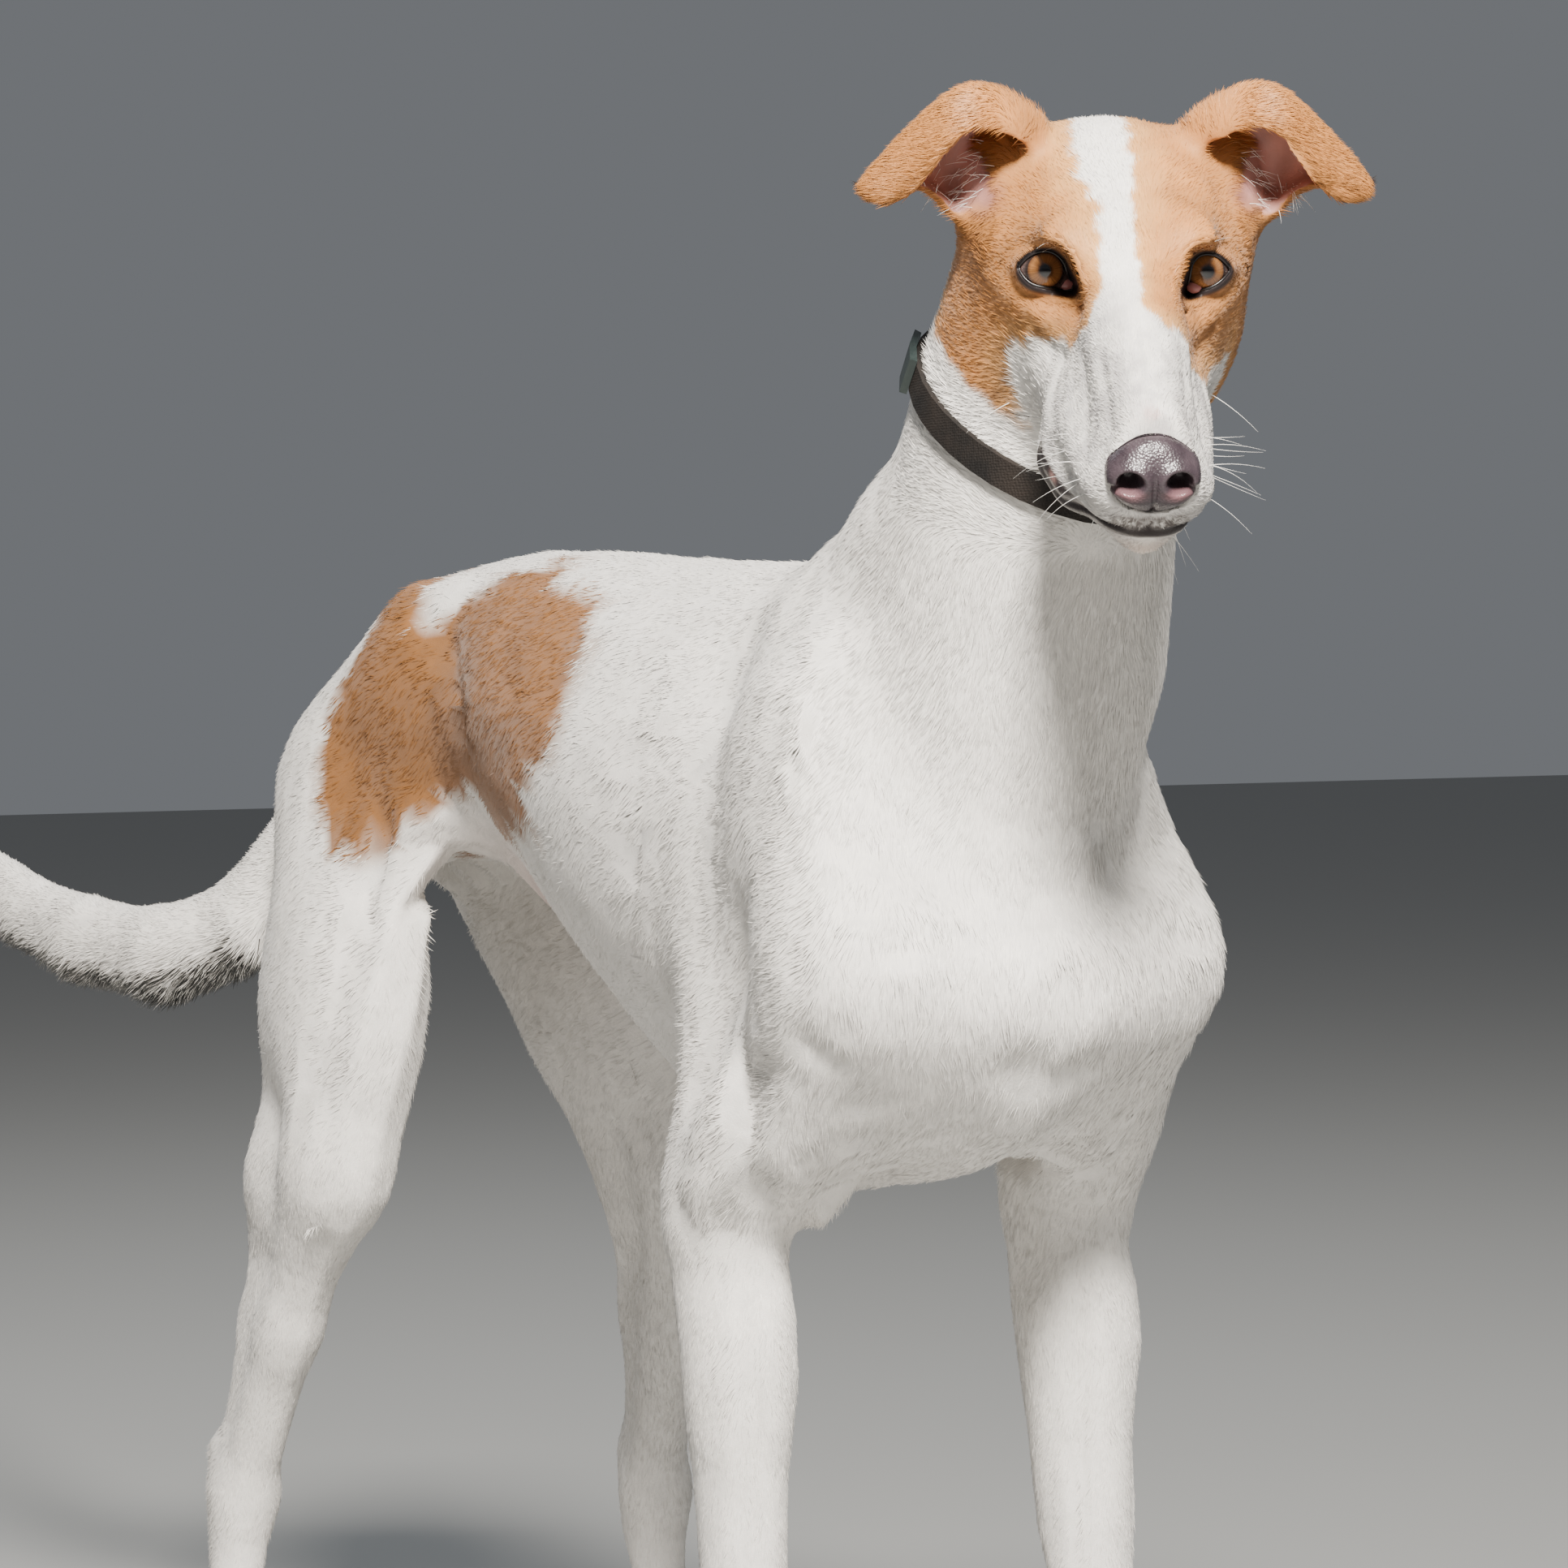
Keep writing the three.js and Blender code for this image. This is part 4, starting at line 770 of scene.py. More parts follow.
    colour = mixed(colour, pink_skin, 0.75 * groin)
    pads = ease(-height, -6, -2) * ease(-normal[:, 2], 0.3, 0.7)
    colour = mixed(colour, dark_skin * 2, 0.85 * pads)
    return np.clip(colour, 0, 1), np.clip(np.maximum(bare, np.maximum(0.8 * groin, pads)), 0, 1)


co = places_of(skin)
colour, bare = hide_colour(co, normals_of(skin))
hide = skin.data.color_attributes.new("hide", "FLOAT_COLOR", "POINT")
hide.data.foreach_set("color", np.concatenate([colour, bare[:, None]], 1).reshape(-1))


def link(tree, source, target):
    tree.links.new(source, target)


def node(tree, kind, **inputs):
    made = tree.nodes.new(kind)
    for key, value in inputs.items():
        made.inputs[key.replace("_", " ")].default_value = value
    return made


def texture(tree, kind, **inputs):
    """A texture in the piece's own space."""
    made = node(tree, kind, **inputs)
    link(tree, tree.nodes.new("ShaderNodeTexCoord").outputs["Object"], made.inputs["Vector"])
    return made


def hide_colours(tree):
    """What is kept in a piece's colour layer: the colour and how bare the skin is."""
    made = tree.nodes.new("ShaderNodeVertexColor")
    made.layer_name = "hide"
    return made.outputs


def spread(tree, value, low, high, to_low, to_high):
    """Turns the span from low to high into the span from to_low to to_high."""
    made = node(tree, "ShaderNodeMapRange", From_Min=low, From_Max=high, To_Min=to_low, To_Max=to_high)
    link(tree, value, made.inputs["Value"])
    return made.outputs["Result"]


def scaled(tree, colour, factor):
    made = tree.nodes.new("ShaderNodeVectorMath")
    made.operation = "SCALE"
    link(tree, colour, made.inputs[0])
    link(tree, factor, made.inputs["Scale"])
    return made.outputs["Vector"]


def relief(tree, shader, height, strength, distance):
    made = node(tree, "ShaderNodeBump", Strength=strength, Distance=distance)
    link(tree, height, made.inputs["Height"])
    link(tree, made.outputs["Normal"], shader.inputs["Normal"])
    return made


def toned(tree, value, steps):
    """Colours blended between steps, each a place on the scale and its colour."""
    made = tree.nodes.new("ShaderNodeValToRGB")
    link(tree, value, made.inputs["Fac"])
    places = made.color_ramp.elements
    for index, (place, colour) in enumerate(steps):
        if index < 2:
            places[index].position = place
        else:
            places.new(place)
        places[index].color = (*colour, 1)
    return made.outputs["Color"]


skin_material, tree, shader = principled("short coat over skin", Sheen_Roughness=0.5)
on_hide = hide_colours(tree)
fine = texture(tree, "ShaderNodeTexNoise", Scale=900.0, Detail=3.0, Roughness=0.7)
soft = texture(tree, "ShaderNodeTexNoise", Scale=70.0, Detail=4.0, Roughness=0.6)
uneven = spread(tree, soft.outputs["Fac"], 0.3, 0.7, 0.86, 1.08)
link(tree, scaled(tree, on_hide["Color"], uneven), shader.inputs["Base Color"])
relief(tree, shader, fine.outputs["Fac"], 0.35, 0.0006)
for socket, low, high, on_hair, on_bare in (
    ("Roughness", 0.5, 1.0, 0.66, 0.34),
    ("Sheen Weight", 0.1, 0.8, 0.12, 0.0),
    ("Specular IOR Level", 0.1, 0.8, 0.5, 0.22),
):
    link(tree, spread(tree, on_hide["Alpha"], low, high, on_hair, on_bare), shader.inputs[socket])
skin.data.materials.append(skin_material)
only(skin)
bpy.ops.object.shade_smooth()
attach(skin, "root")
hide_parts(*flesh_nodes)


# Eyes: a ball of glazed white with a raised front over an amber iris, looking at the viewer. Round each
# opening runs the dark moist edge of the lids, and a pink third lid shows at the inner corner.
def ring_faces(rings, around):
    """Faces between rings of points, with a point before the first ring and one after the last."""
    faces = []
    for i in range(rings - 1):
        for k in range(around):
            n = (k + 1) % around
            a, b = 1 + i * around, 1 + (i + 1) * around
            faces.append((a + k, b + k, b + n, a + n))
    last = 1 + rings * around
    for k in range(around):
        n = (k + 1) % around
        faces.append((0, 1 + k, 1 + n))
        faces.append((last, last - around + n, last - around + k))
    return faces


eye_material, tree, shader = principled(
    "glazed eye", Roughness=0.12, Coat_Weight=1.0, Coat_Roughness=0.02, IOR=1.4
)
space = tree.nodes.new("ShaderNodeUVMap")
space.uv_map = "eye"
centred = node(tree, "ShaderNodeMapping", Location=(-0.5, -0.5, 0.0))
link(tree, space.outputs["UV"], centred.inputs["Vector"])
distance = tree.nodes.new("ShaderNodeVectorMath")
distance.operation = "LENGTH"
link(tree, centred.outputs["Vector"], distance.inputs[0])
round_way = tree.nodes.new("ShaderNodeVectorMath")
round_way.operation = "NORMALIZE"
link(tree, centred.outputs["Vector"], round_way.inputs[0])
fibres = node(tree, "ShaderNodeTexNoise", Scale=9.0, Detail=5.0, Roughness=0.75)
link(tree, round_way.outputs["Vector"], fibres.inputs["Vector"])
mottle = node(tree, "ShaderNodeTexNoise", Scale=55.0, Detail=3.0)
link(tree, centred.outputs["Vector"], mottle.inputs["Vector"])
mottle_strength = 0.018
shifted = node(tree, "ShaderNodeMath")
shifted.operation = "MULTIPLY_ADD"
link(tree, mottle.outputs["Fac"], shifted.inputs[0])
shifted.inputs[1].default_value = mottle_strength
link(tree, distance.outputs["Value"], shifted.inputs[2])
# the bands from the pupil out, by their way in mm from its middle
eye_span = 28.0
bands = [
    (0.0, (0.004, 0.004, 0.006)),
    (1.9, (0.005, 0.005, 0.007)),
    (2.4, (0.05, 0.022, 0.010)),
    (3.4, (0.15, 0.062, 0.020)),
    (5.6, (0.23, 0.100, 0.032)),
    (6.9, (0.13, 0.055, 0.022)),
    (7.5, (0.022, 0.014, 0.012)),
    (8.3, (0.03, 0.02, 0.018)),
    (9.8, (0.09, 0.06, 0.055)),
    (12.0, (0.16, 0.09, 0.08)),
]
steps = [(mm / eye_span + mottle_strength / 2, tone) for mm, tone in bands]
banded = toned(tree, shifted.outputs["Value"], steps)
streaks = spread(tree, fibres.outputs["Fac"], 0.3, 0.7, 0.55, 1.5)
link(tree, scaled(tree, banded, streaks), shader.inputs["Base Color"])

rim_material = principled("moist lid edge", Base_Color=(0.012, 0.009, 0.009, 1), Roughness=0.32)[0]
pink_material = principled("moist pink skin", Base_Color=(0.40, 0.15, 0.14, 1), Roughness=0.25)[0]

ball_rings = 40
ball_around = 64
cornea_rise = 1.1
cornea_lean = 31
tube_sides = 8
tube_radius = 0.0005
for side_name, eye in eyes.items():
    gaze = eye["gaze"] / np.linalg.norm(eye["gaze"])
    beside = np.cross(gaze, (0, 0, 1.0))
    beside /= np.linalg.norm(beside)
    above = np.cross(beside, gaze)
    ball = eye["radius"] * 1000 - 0.5
    turn = np.linspace(0, 2 * math.pi, ball_around, endpoint=False)
    points = [eye["centre"] + gaze * (ball + cornea_rise) / 1000]
    flat = [(0.5, 0.5)]
    for ring in range(1, ball_rings):
        lean = math.pi * (ring / ball_rings) ** 1.25
        radius = ball + cornea_rise * math.exp(-((math.degrees(lean) / cornea_lean) ** 4))
        for t in turn:
            way = math.cos(t) * beside + math.sin(t) * above
            points.append(eye["centre"] + (gaze * math.cos(lean) + way * math.sin(lean)) * radius / 1000)
            out = min(lean, math.pi / 2) * ball / eye_span
            flat.append((0.5 + out * math.cos(t), 0.5 + out * math.sin(t)))
    points.append(eye["centre"] - gaze * ball / 1000)
    flat.append((0.5, 0.96))
    faces = ring_faces(ball_rings - 1, ball_around)
    eyeball = new_piece("eyeball_" + side_name, points, faces, eye_material)
    uv = eyeball.data.uv_layers.new(name="eye")
    corner = np.empty(len(eyeball.data.loops), np.int64)
    eyeball.data.loops.foreach_get("vertex_index", corner)
    uv.data.foreach_set("uv", np.array(flat)[corner].reshape(-1))
    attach(eyeball, "root")
    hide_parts("eye_" + side_name)

    # the lids' edge, as a tube along the almond, thicker below
    x_axis, y_axis, z_axis = eye["axes"]
    rim = in_eye(eye, eye["curve"] - eye["away"] * 0.1, ball_height(eye, eye["curve"]) + 0.35)
    steps_round = len(rim)
    points = []
    for k, p in enumerate(rim):
        run = rim[(k + 1) % steps_round] - rim[k - 1]
        run /= np.linalg.norm(run)
        out = p - eye["centre"]
        out -= run * (out @ run)
        out /= np.linalg.norm(out)
        aside = np.cross(run, out)
        for c in range(tube_sides):
            w = 2 * math.pi * c / tube_sides
            points.append(p + tube_radius * (math.cos(w) * out + math.sin(w) * aside * 1.2))
    faces = []
    for k in range(steps_round):
        n = (k + 1) % steps_round
        for c in range(tube_sides):
            d = (c + 1) % tube_sides
            faces.append((k * tube_sides + c, k * tube_sides + d, n * tube_sides + d, n * tube_sides + c))
    rims = new_piece("lid_edge_" + side_name, points, faces, rim_material)
    turn_outwards(rims)
    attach(rims, "root")

    # the third lid: a small pink pad tucked in the inner corner
    bpy.ops.mesh.primitive_uv_sphere_add(segments=24, ring_count=16, radius=1.0)
    pad = bpy.context.object
    pad.name = "third_lid_" + side_name
    unit = places_of(pad)
    low = eye["curve"][np.argmin(eye["curve"].sum(1))]
    spot = low + np.array((2.6, 1.9))
    middle = in_eye(eye, spot[None], ball_height(eye, spot[None]) - 0.5)[0]
    shape = unit[:, [0]] * 3.0 * x_axis + unit[:, [1]] * 2.4 * y_axis + unit[:, [2]] * 1.5 * z_axis
    set_places(pad, middle + shape / 1000)
    pad.data.materials.append(pink_material)
    turn_outwards(pad)
    bpy.ops.object.shade_smooth()
    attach(pad, "root")

# Nose leather: dark pebbled skin with two comma-shaped nostrils and a groove down the middle, modelled
# on a ball.
nose_middle = (122.5, -27.6)
nose_half = (17.7, 14.9)
bpy.ops.object.select_all(action="DESELECT")
bpy.ops.mesh.primitive_uv_sphere_add(segments=168, ring_count=120, radius=1.0)
nose = bpy.context.object
nose.name = "nose_pad"
unit = places_of(nose)
x, y, z = unit[:, 0], -unit[:, 1], unit[:, 2]
wide = nose_half[0] * (1 - 0.30 * ease(-z, 0.15, 1.0) - 0.16 * ease(z, 0.3, 1.0))
l = np.sign(x) * np.abs(x) ** 0.88 * wide
u = nose_middle[1] + nose_half[1] * z
front = np.abs(y) ** 0.55
a = np.where(y > 0, nose_middle[0] + 13.0 * front - 5.0 * ease(z, -0.2, 1.0), nose_middle[0] - 6 * front)
a -= 2.5 * ease(-z, 0.45, 1.0) * (y > 0)
side_l = np.abs(l)
facing = ease(y, 0.0, 0.25)
hole = np.hypot((side_l - 9.0) / 1.2, u + 27.4)
t = np.clip((side_l - 10.5) / 7.5, 0, 1)
slit_height = -29.0 - 3.2 * t**1.3
slit = np.hypot(np.where(side_l < 10.5, side_l - 10.5, np.maximum(side_l - 19, 0)), u - slit_height)
pit = np.exp(-((hole / 3.4) ** 4))
a -= facing * 10.5 * pit
a -= facing * 4.5 * bell(slit / 1.5) * (1 - pit)
a += facing * 1.3 * bell((hole - 5.2) / 2.0) * ease(u, -34, -23)
a += facing * 0.9 * bell((u + 36) / 3, (side_l - 10) / 5)
a -= facing * 1.6 * bell(l / 0.9) * ease(-u, 24, 29)
a -= facing * 0.9 * bell(l / 3.5) * ease(-u, 16, 28)
set_places(nose, between_eyes + (np.stack([l, -a, u], 1) @ head_turned.T) / 1000)
leather, tree, shader = principled("nose leather", Roughness=0.3)
pebbles = texture(tree, "ShaderNodeTexVoronoi", Scale=1050.0, Randomness=0.9)
cloud = texture(tree, "ShaderNodeTexNoise", Scale=160.0, Detail=4.0)
steps = [(0.3, (0.030, 0.021, 0.026)), (0.75, (0.066, 0.048, 0.056))]
leather_tones = toned(tree, cloud.outputs["Fac"], steps)
inside_pink = 0.55 * facing * bell((hole - 4.2) / 2.2) * ease(-u, 29, 33)
lower = nose.data.color_attributes.new("hide", "FLOAT_COLOR", "POINT")
lower.data.foreach_set("color", np.repeat(inside_pink, 4))
blend = tree.nodes.new("ShaderNodeMix")
blend.data_type = "RGBA"
link(tree, hide_colours(tree)["Color"], blend.inputs["Factor"])
base_socket, pink_socket = (socket for socket in blend.inputs if socket.type == "RGBA")
link(tree, leather_tones, base_socket)
pink_socket.default_value = (0.34, 0.15, 0.16, 1)
blended = next(socket for socket in blend.outputs if socket.type == "RGBA")
link(tree, blended, shader.inputs["Base Color"])
relief(tree, shader, pebbles.outputs["Distance"], 0.4, 0.0004).invert = True
nose.data.materials.append(leather)
turn_outwards(nose)
bpy.ops.object.shade_smooth()
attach(nose, "root")
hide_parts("nose")

# The coat: short glossy hair that lies flat from nose to tail and down the legs. It is made as thin solid
# tufts rooted all over the skin, shorter on face, ears and feet and longer under the tail.
only(skin)
bake_map = skin.data.uv_layers.new(name="OFBake")
skin.data.uv_layers.active = bake_map
bpy.ops.object.mode_set(mode="EDIT")
bpy.ops.mesh.select_all(action="SELECT")
bpy.ops.uv.smart_project(angle_limit=math.radians(66), island_margin=0.0015)
bpy.ops.object.mode_set(mode="OBJECT")
skin.data.calc_loop_triangles()
tri_count = len(skin.data.loop_triangles)
tri, tri_loops = np.empty((2, tri_count * 3), np.int64)
skin.data.loop_triangles.foreach_get("vertices", tri)
skin.data.loop_triangles.foreach_get("loops", tri_loops)
tri, tri_loops = tri.reshape(-1, 3), tri_loops.reshape(-1, 3)
flat_places = np.empty(len(skin.data.loops) * 2)
skin.data.uv_layers["OFBake"].data.foreach_get("uv", flat_places)
flat_places = flat_places.reshape(-1, 2)
hide_places = places_of(skin)
hide_normals = normals_of(skin)
corners = hide_places[tri]
tri_cross = np.cross(corners[:, 1] - corners[:, 0], corners[:, 2] - corners[:, 0])
tri_area = np.linalg.norm(tri_cross, axis=1) / 2 * 1e6
tri_middle = corners.mean(1)

collar_points = places_of(nodes["collar"])
collar_middle = (collar_points.max(0) + collar_points.min(0)) / 2
across_collar = np.linalg.svd(collar_points - collar_points.mean(0), full_matrices=False)[2][2]
collar_way = across_collar * np.sign(across_collar[2])
collar_half = np.abs((collar_points - collar_middle) @ collar_way).max() * 1000


def over_collar(points):
    """Way in mm up the neck from the middle of the collar, far off anywhere but on the neck."""
    q = (points - collar_middle) * 1000
    up_neck = q @ collar_way
    beside = np.linalg.norm(q - up_neck[:, None] * collar_way, axis=1)
    return np.where(beside < 110, up_neck, 500)


def way_of(forward, left, up):
    return np.array((left, -forward, up), float)


tail_run = [
    (-390, -25, 566), (-424, -62, 503), (-472, -93, 484), (-550, -119, 490),
    (-626, -137, 509), (-694, -150, 538), (-748, -160, 586), (-776, -165, 630),
]


def lie_of_coat(points, normal):
    """Way the hair points, its length, its width and its lift off the skin in degrees."""
    a, l, u = head_sizes(points)
    forward, outward, height = body_sizes(points)
    count = len(points)
    on_neck = ease(forward, 250, 320) * ease(height, 540, 640)
    on_leg = ease(-height, -440, -360) * (1 - ease(-forward, 330, 380))
    from_tail = far_from_line(np.stack([forward, outward, height], 1), tail_run)
    on_tail = ease(-from_tail, -46, -36) * ease(-forward, 384, 404)
    face = ease(a, -112, -96) * ease(u, -125, -108) * (forward > 290)
    ear = face * ease(np.abs(l), 40, 50) * ease(u, -6, 6) * ease(-a, 20, 34)
    front = ease(normal @ way_of(1, 0, 0), 0.2, 0.8) * ease(forward, 200, 300) * (1 - on_neck)
    outwards = np.sign(l)[:, None] * head_way(0, 1, 0)
    way = np.tile(way_of(-0.9, 0, -0.42), (count, 1))
    for flow, share in (
        (way_of(-0.45, 0, -1.1), on_neck),
        (way_of(-0.1, 0, -1.0), front),
        (way_of(-0.25, 0, -1.0), on_leg),
        (way_of(-1.0, 0, -0.25), on_tail),
        (head_way(-1.0, 0, 0.05) + 0.45 * outwards * ease(np.abs(l), 3, 20)[:, None], face),
        (head_way(-0.2, 0, -0.25) + outwards, ear),
    ):
        way = mixed(way, flow, share)
    turn = ripple(points, 45, 41) * 0.22 + ripple(points, 12, 42) * 0.16
    way /= np.linalg.norm(way, axis=1)[:, None]
    side = np.cross(normal, way)
    way = way + side * turn[:, None]
    length = 8.0 - 0.5 * on_neck - 2.8 * on_leg - 2.0 * ease(-height, -120, -60)
    under_tail = on_tail * ease(-normal[:, 2], -0.3, 0.6)
    length += 7.0 * under_tail - 0.5 * on_tail
    length = length + (5.2 - length) * face
    length -= 2.2 * face * ease(a, -10, 50)
    width = 0.70 - 0.26 * face - 0.12 * on_leg * (1 - face)
    lift = 4.5 + 1.5 * on_neck + 9 * under_tail + face
    faces_back = ease(-normal @ way_of(1, 0, 0), 0.2, 0.8)
    lift += 8 * (faces_back * ease(-height, -520, -460) * ease(height, 200, 260))
    collar_up = over_collar(points)
    above_collar = (collar_up > collar_half) * ease(-collar_up, -collar_half - 9, -collar_half - 1)
    lift += 18 * above_collar * (collar_up < 40)
    return way, length, width, lift


coat_material, tree, shader = principled(
    "hair", Roughness=0.52, Sheen_Weight=0.1, Sheen_Roughness=0.4, Specular_IOR_Level=0.4
)
link(tree, hide_colours(tree)["Color"], shader.inputs["Base Color"])
# a tuft is a long low wedge: two corners at its root, a ridge above them and the tip
tuft_triangles = np.array(((0, 2, 1), (0, 1, 3), (1, 2, 3), (2, 0, 3)))
bake_patch = 0.003
root_depth = 0.35
floor_gap = 0.0004


def grow(name, count, weight, seed):
    """Grows count tufts as one mesh, rooted evenly over the skin's triangles by their area times weight."""
    draw = np.random.default_rng(seed)
    share = np.cumsum(tri_area * weight)
    chosen = np.searchsorted(share, (np.arange(count) + draw.random(count)) / count * share[-1])
    chosen = np.minimum(chosen, tri_count - 1)
    s, t = draw.random((2, count))
    over = s + t > 1
    s, t = np.where(over, 1 - s, s), np.where(over, 1 - t, t)
    shares = np.stack([1 - s - t, s, t], 1)[:, :, None]
    root = (hide_places[tri[chosen]] * shares).sum(1)
    normal = (hide_normals[tri[chosen]] * shares).sum(1)
    normal /= np.linalg.norm(normal, axis=1)[:, None]
    flat = (flat_places[tri_loops[chosen]] * shares).sum(1)
    colour, bare = hide_colour(root, normal)
    collar_up = over_collar(root)
    keep = (bare < 0.35) & (root[:, 2] > 0.003) & (np.abs(collar_up) > collar_half - 0.5)
    for eye in eyes.values():
        gap, x, y, z = lid_gap(root, eye)
        keep &= ~((gap < 1.8) & (z > -8))
    keep &= far_from_hanging_lip(*head_sizes(root)) > 5.0
    root, normal, flat, colour = root[keep], normal[keep], flat[keep], colour[keep]
    count = len(root)
    way, length, width, lift = lie_of_coat(root, normal)
    way -= normal * (way * normal).sum(1)[:, None]
    length = length * (0.3 + 0.7 * ease(np.linalg.norm(way, axis=1), 0.15, 0.45))
    way /= np.maximum(np.linalg.norm(way, axis=1), 1e-6)[:, None]
    side = np.cross(normal, way)
    for eye in eyes.values():
        gap, x, y, z = lid_gap(root, eye)
        length = np.where(gap < 20, np.minimum(length, 1.3 + 0.26 * np.maximum(gap, 0)), length)
    length = length * draw.uniform(0.7, 1.25, count)
    width = width * draw.uniform(0.7, 1.3, count)
    lift = np.radians(lift + draw.normal(0, 2.0, count))
    sway = draw.normal(0, 0.10, count)
    tip_way = way * np.cos(lift)[:, None] + normal * np.sin(lift)[:, None] + side * sway[:, None]
    place = root * 1000
    points = np.stack([
        place - side * (width / 2)[:, None] - normal * root_depth,
        place + side * (width / 2)[:, None] - normal * root_depth,
        place + normal * (0.22 * width)[:, None] + way * (0.15 * length)[:, None],
        place + tip_way * length[:, None],
    ], 1) / 1000
    shade = draw.normal(1.0, 0.045, count)[:, None]
    # painted shade and light: each tuft's root corners are darker and its tip lighter than the hide's colour
    # under it
    tones = np.stack([colour * 0.92, colour * 0.92, colour, colour * 1.04], 1) * shade[:, None]
    tones = np.concatenate([np.clip(tones, 0, 0.95), np.ones((count, 4, 1))], 2)
    points[:, :, 2] = np.maximum(points[:, :, 2], floor_gap)
    mesh = bpy.data.meshes.new(name)
    mesh.vertices.add(count * 4)
    mesh.vertices.foreach_set("co", points.reshape(-1))
    corner = (np.arange(count)[:, None, None] * 4 + tuft_triangles[None]).reshape(-1)
    mesh.loops.add(len(corner))
    mesh.loops.foreach_set("vertex_index", corner)
    mesh.polygons.add(count * 4)
    mesh.polygons.foreach_set("loop_start", np.arange(count * 4) * 3)
    mesh.polygons.foreach_set("use_smooth", np.ones(count * 4, bool))
    mesh.update(calc_edges=True)
    # a flat tuft shades like the skin that it lies on, a lifted one like its own faces
    own = normal * np.cos(lift)[:, None] - way * np.sin(lift)[:, None]
    own = own + draw.normal(0, 0.13, count)[:, None] * side
    turned = 2.0 * ease(lift, math.radians(7), math.radians(14))[:, None] * side
    soft = np.stack([own - 0.45 * side, own + 0.45 * side, own, own + 0.1 * way], 1)
    soft = soft[:, tuft_triangles]
    soft[:, 1] = -own[:, None]
    soft[:, 2] += turned[:, None]
    soft[:, 3] -= turned[:, None]
    soft /= np.linalg.norm(soft, axis=3)[:, :, :, None]
    shading = mesh.attributes.new("custom_normal", "FLOAT_VECTOR", "CORNER")
    shading.data.foreach_set("vector", soft.reshape(-1))
    patch = np.array(((-0.5, -0.5), (0.5, -0.5), (0.0, 0.0), (0.0, 0.5))) * bake_patch
    layer = mesh.uv_layers.new(name="OFBake")
    spots = np.clip(flat[:, None, :] + patch[None], 0.0, 1.0).reshape(-1, 2)
    layer.data.foreach_set("uv", spots[corner].reshape(-1))
    tint = mesh.color_attributes.new("hide", "FLOAT_COLOR", "POINT")
    tint.data.foreach_set("color", tones.reshape(-1))
    mesh.materials.append(coat_material)
    piece = bpy.data.objects.new(name, mesh)
    bpy.context.scene.collection.objects.link(piece)
    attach(piece, "root")


a, l, u = head_sizes(tri_middle)
forward, outward, height = body_sizes(tri_middle)
face_share = ease(a, -112, -104) * ease(u, -125, -115) * (forward > 290)
ear_share = face_share * ease(np.abs(l), 44, 48) * ease(u, -8, 0) * ease(-a, 22, 30)
face_share *= 1 - ear_share
neck_share = (1 - face_share) * (1 - ear_share) * ((forward > 270) & (height > 560))
tail_share = (far_from_line(np.stack([forward, outward, height], 1), tail_run) < 46) & (forward < -384)
leg_share = (height < 400) & ~tail_share
trunk_share = (1 - face_share) * (1 - ear_share) * (1 - neck_share) * ~leg_share * ~tail_share
for seed, (name, count, weight) in enumerate((
    ("face", 49500, face_share * (1 + 1.2 * ease(a, -20, 60))),
    ("ears", 30000, ear_share),
    ("neck", 40000, neck_share),
    ("chest", 49500, trunk_share * (forward > 130)),
    ("flanks", 49500, trunk_share * (forward <= 130)),
    ("forelegs", 42000, leg_share * (forward > 40)),
    ("hindlegs", 46000, leg_share * (forward <= 40)),
    ("tail", 24000, tail_share),
), 101):
    grow("coat_" + name, count, weight, seed)


# Whiskers, lashes and brow hairs: single stiff hairs, white on the muzzle, black on the lids, each a
# tapered rod.
def hair_rods(name, rods, material, sides=5, steps=8):
    """Joins bent tapered rods, each a root, way, length, thickness and sag in metres, into one piece."""
    points, faces = [], []
    for root, way, length, thick, sag in rods:
        way = np.array(way) / np.linalg.norm(way)
        aside = np.cross(way, (0, 0, 1.0))
        aside /= np.linalg.norm(aside)
        above = np.cross(aside, way)
        start = len(points)
        points.append(root - way * 0.0008)
        for i in range(steps):
            t = i / (steps - 1)
            middle = root + way * length * t - above * sag * length * t * t
            radius = thick / 2 * (1 - 0.85 * t)
            for c in range(sides):
                w = 2 * math.pi * c / sides
                points.append(middle + (aside * math.cos(w) + above * math.sin(w)) * radius)
        points.append(root + way * length * 1.02 - above * sag * length * 1.04)
        faces += [tuple(start + k for k in face) for face in ring_faces(steps, sides)]
    piece = new_piece(name, points, faces, material)
    turn_outwards(piece)
    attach(piece, "root")
    return piece


def on_skin(along, left, up):
    """The spot of the skin nearest to a place on the head, and the way out of the skin there."""
    away = ((hide_places - in_head(along, left, up)) ** 2).sum(1)
    nearest = int(away.argmin())
    return hide_places[nearest], hide_normals[nearest]


white_hair_rod = principled("white whisker", Base_Color=(0.86, 0.84, 0.80, 1), Roughness=0.35)[0]
black_hair_rod = principled("black lash", Base_Color=(0.012, 0.010, 0.010, 1), Roughness=0.4)[0]

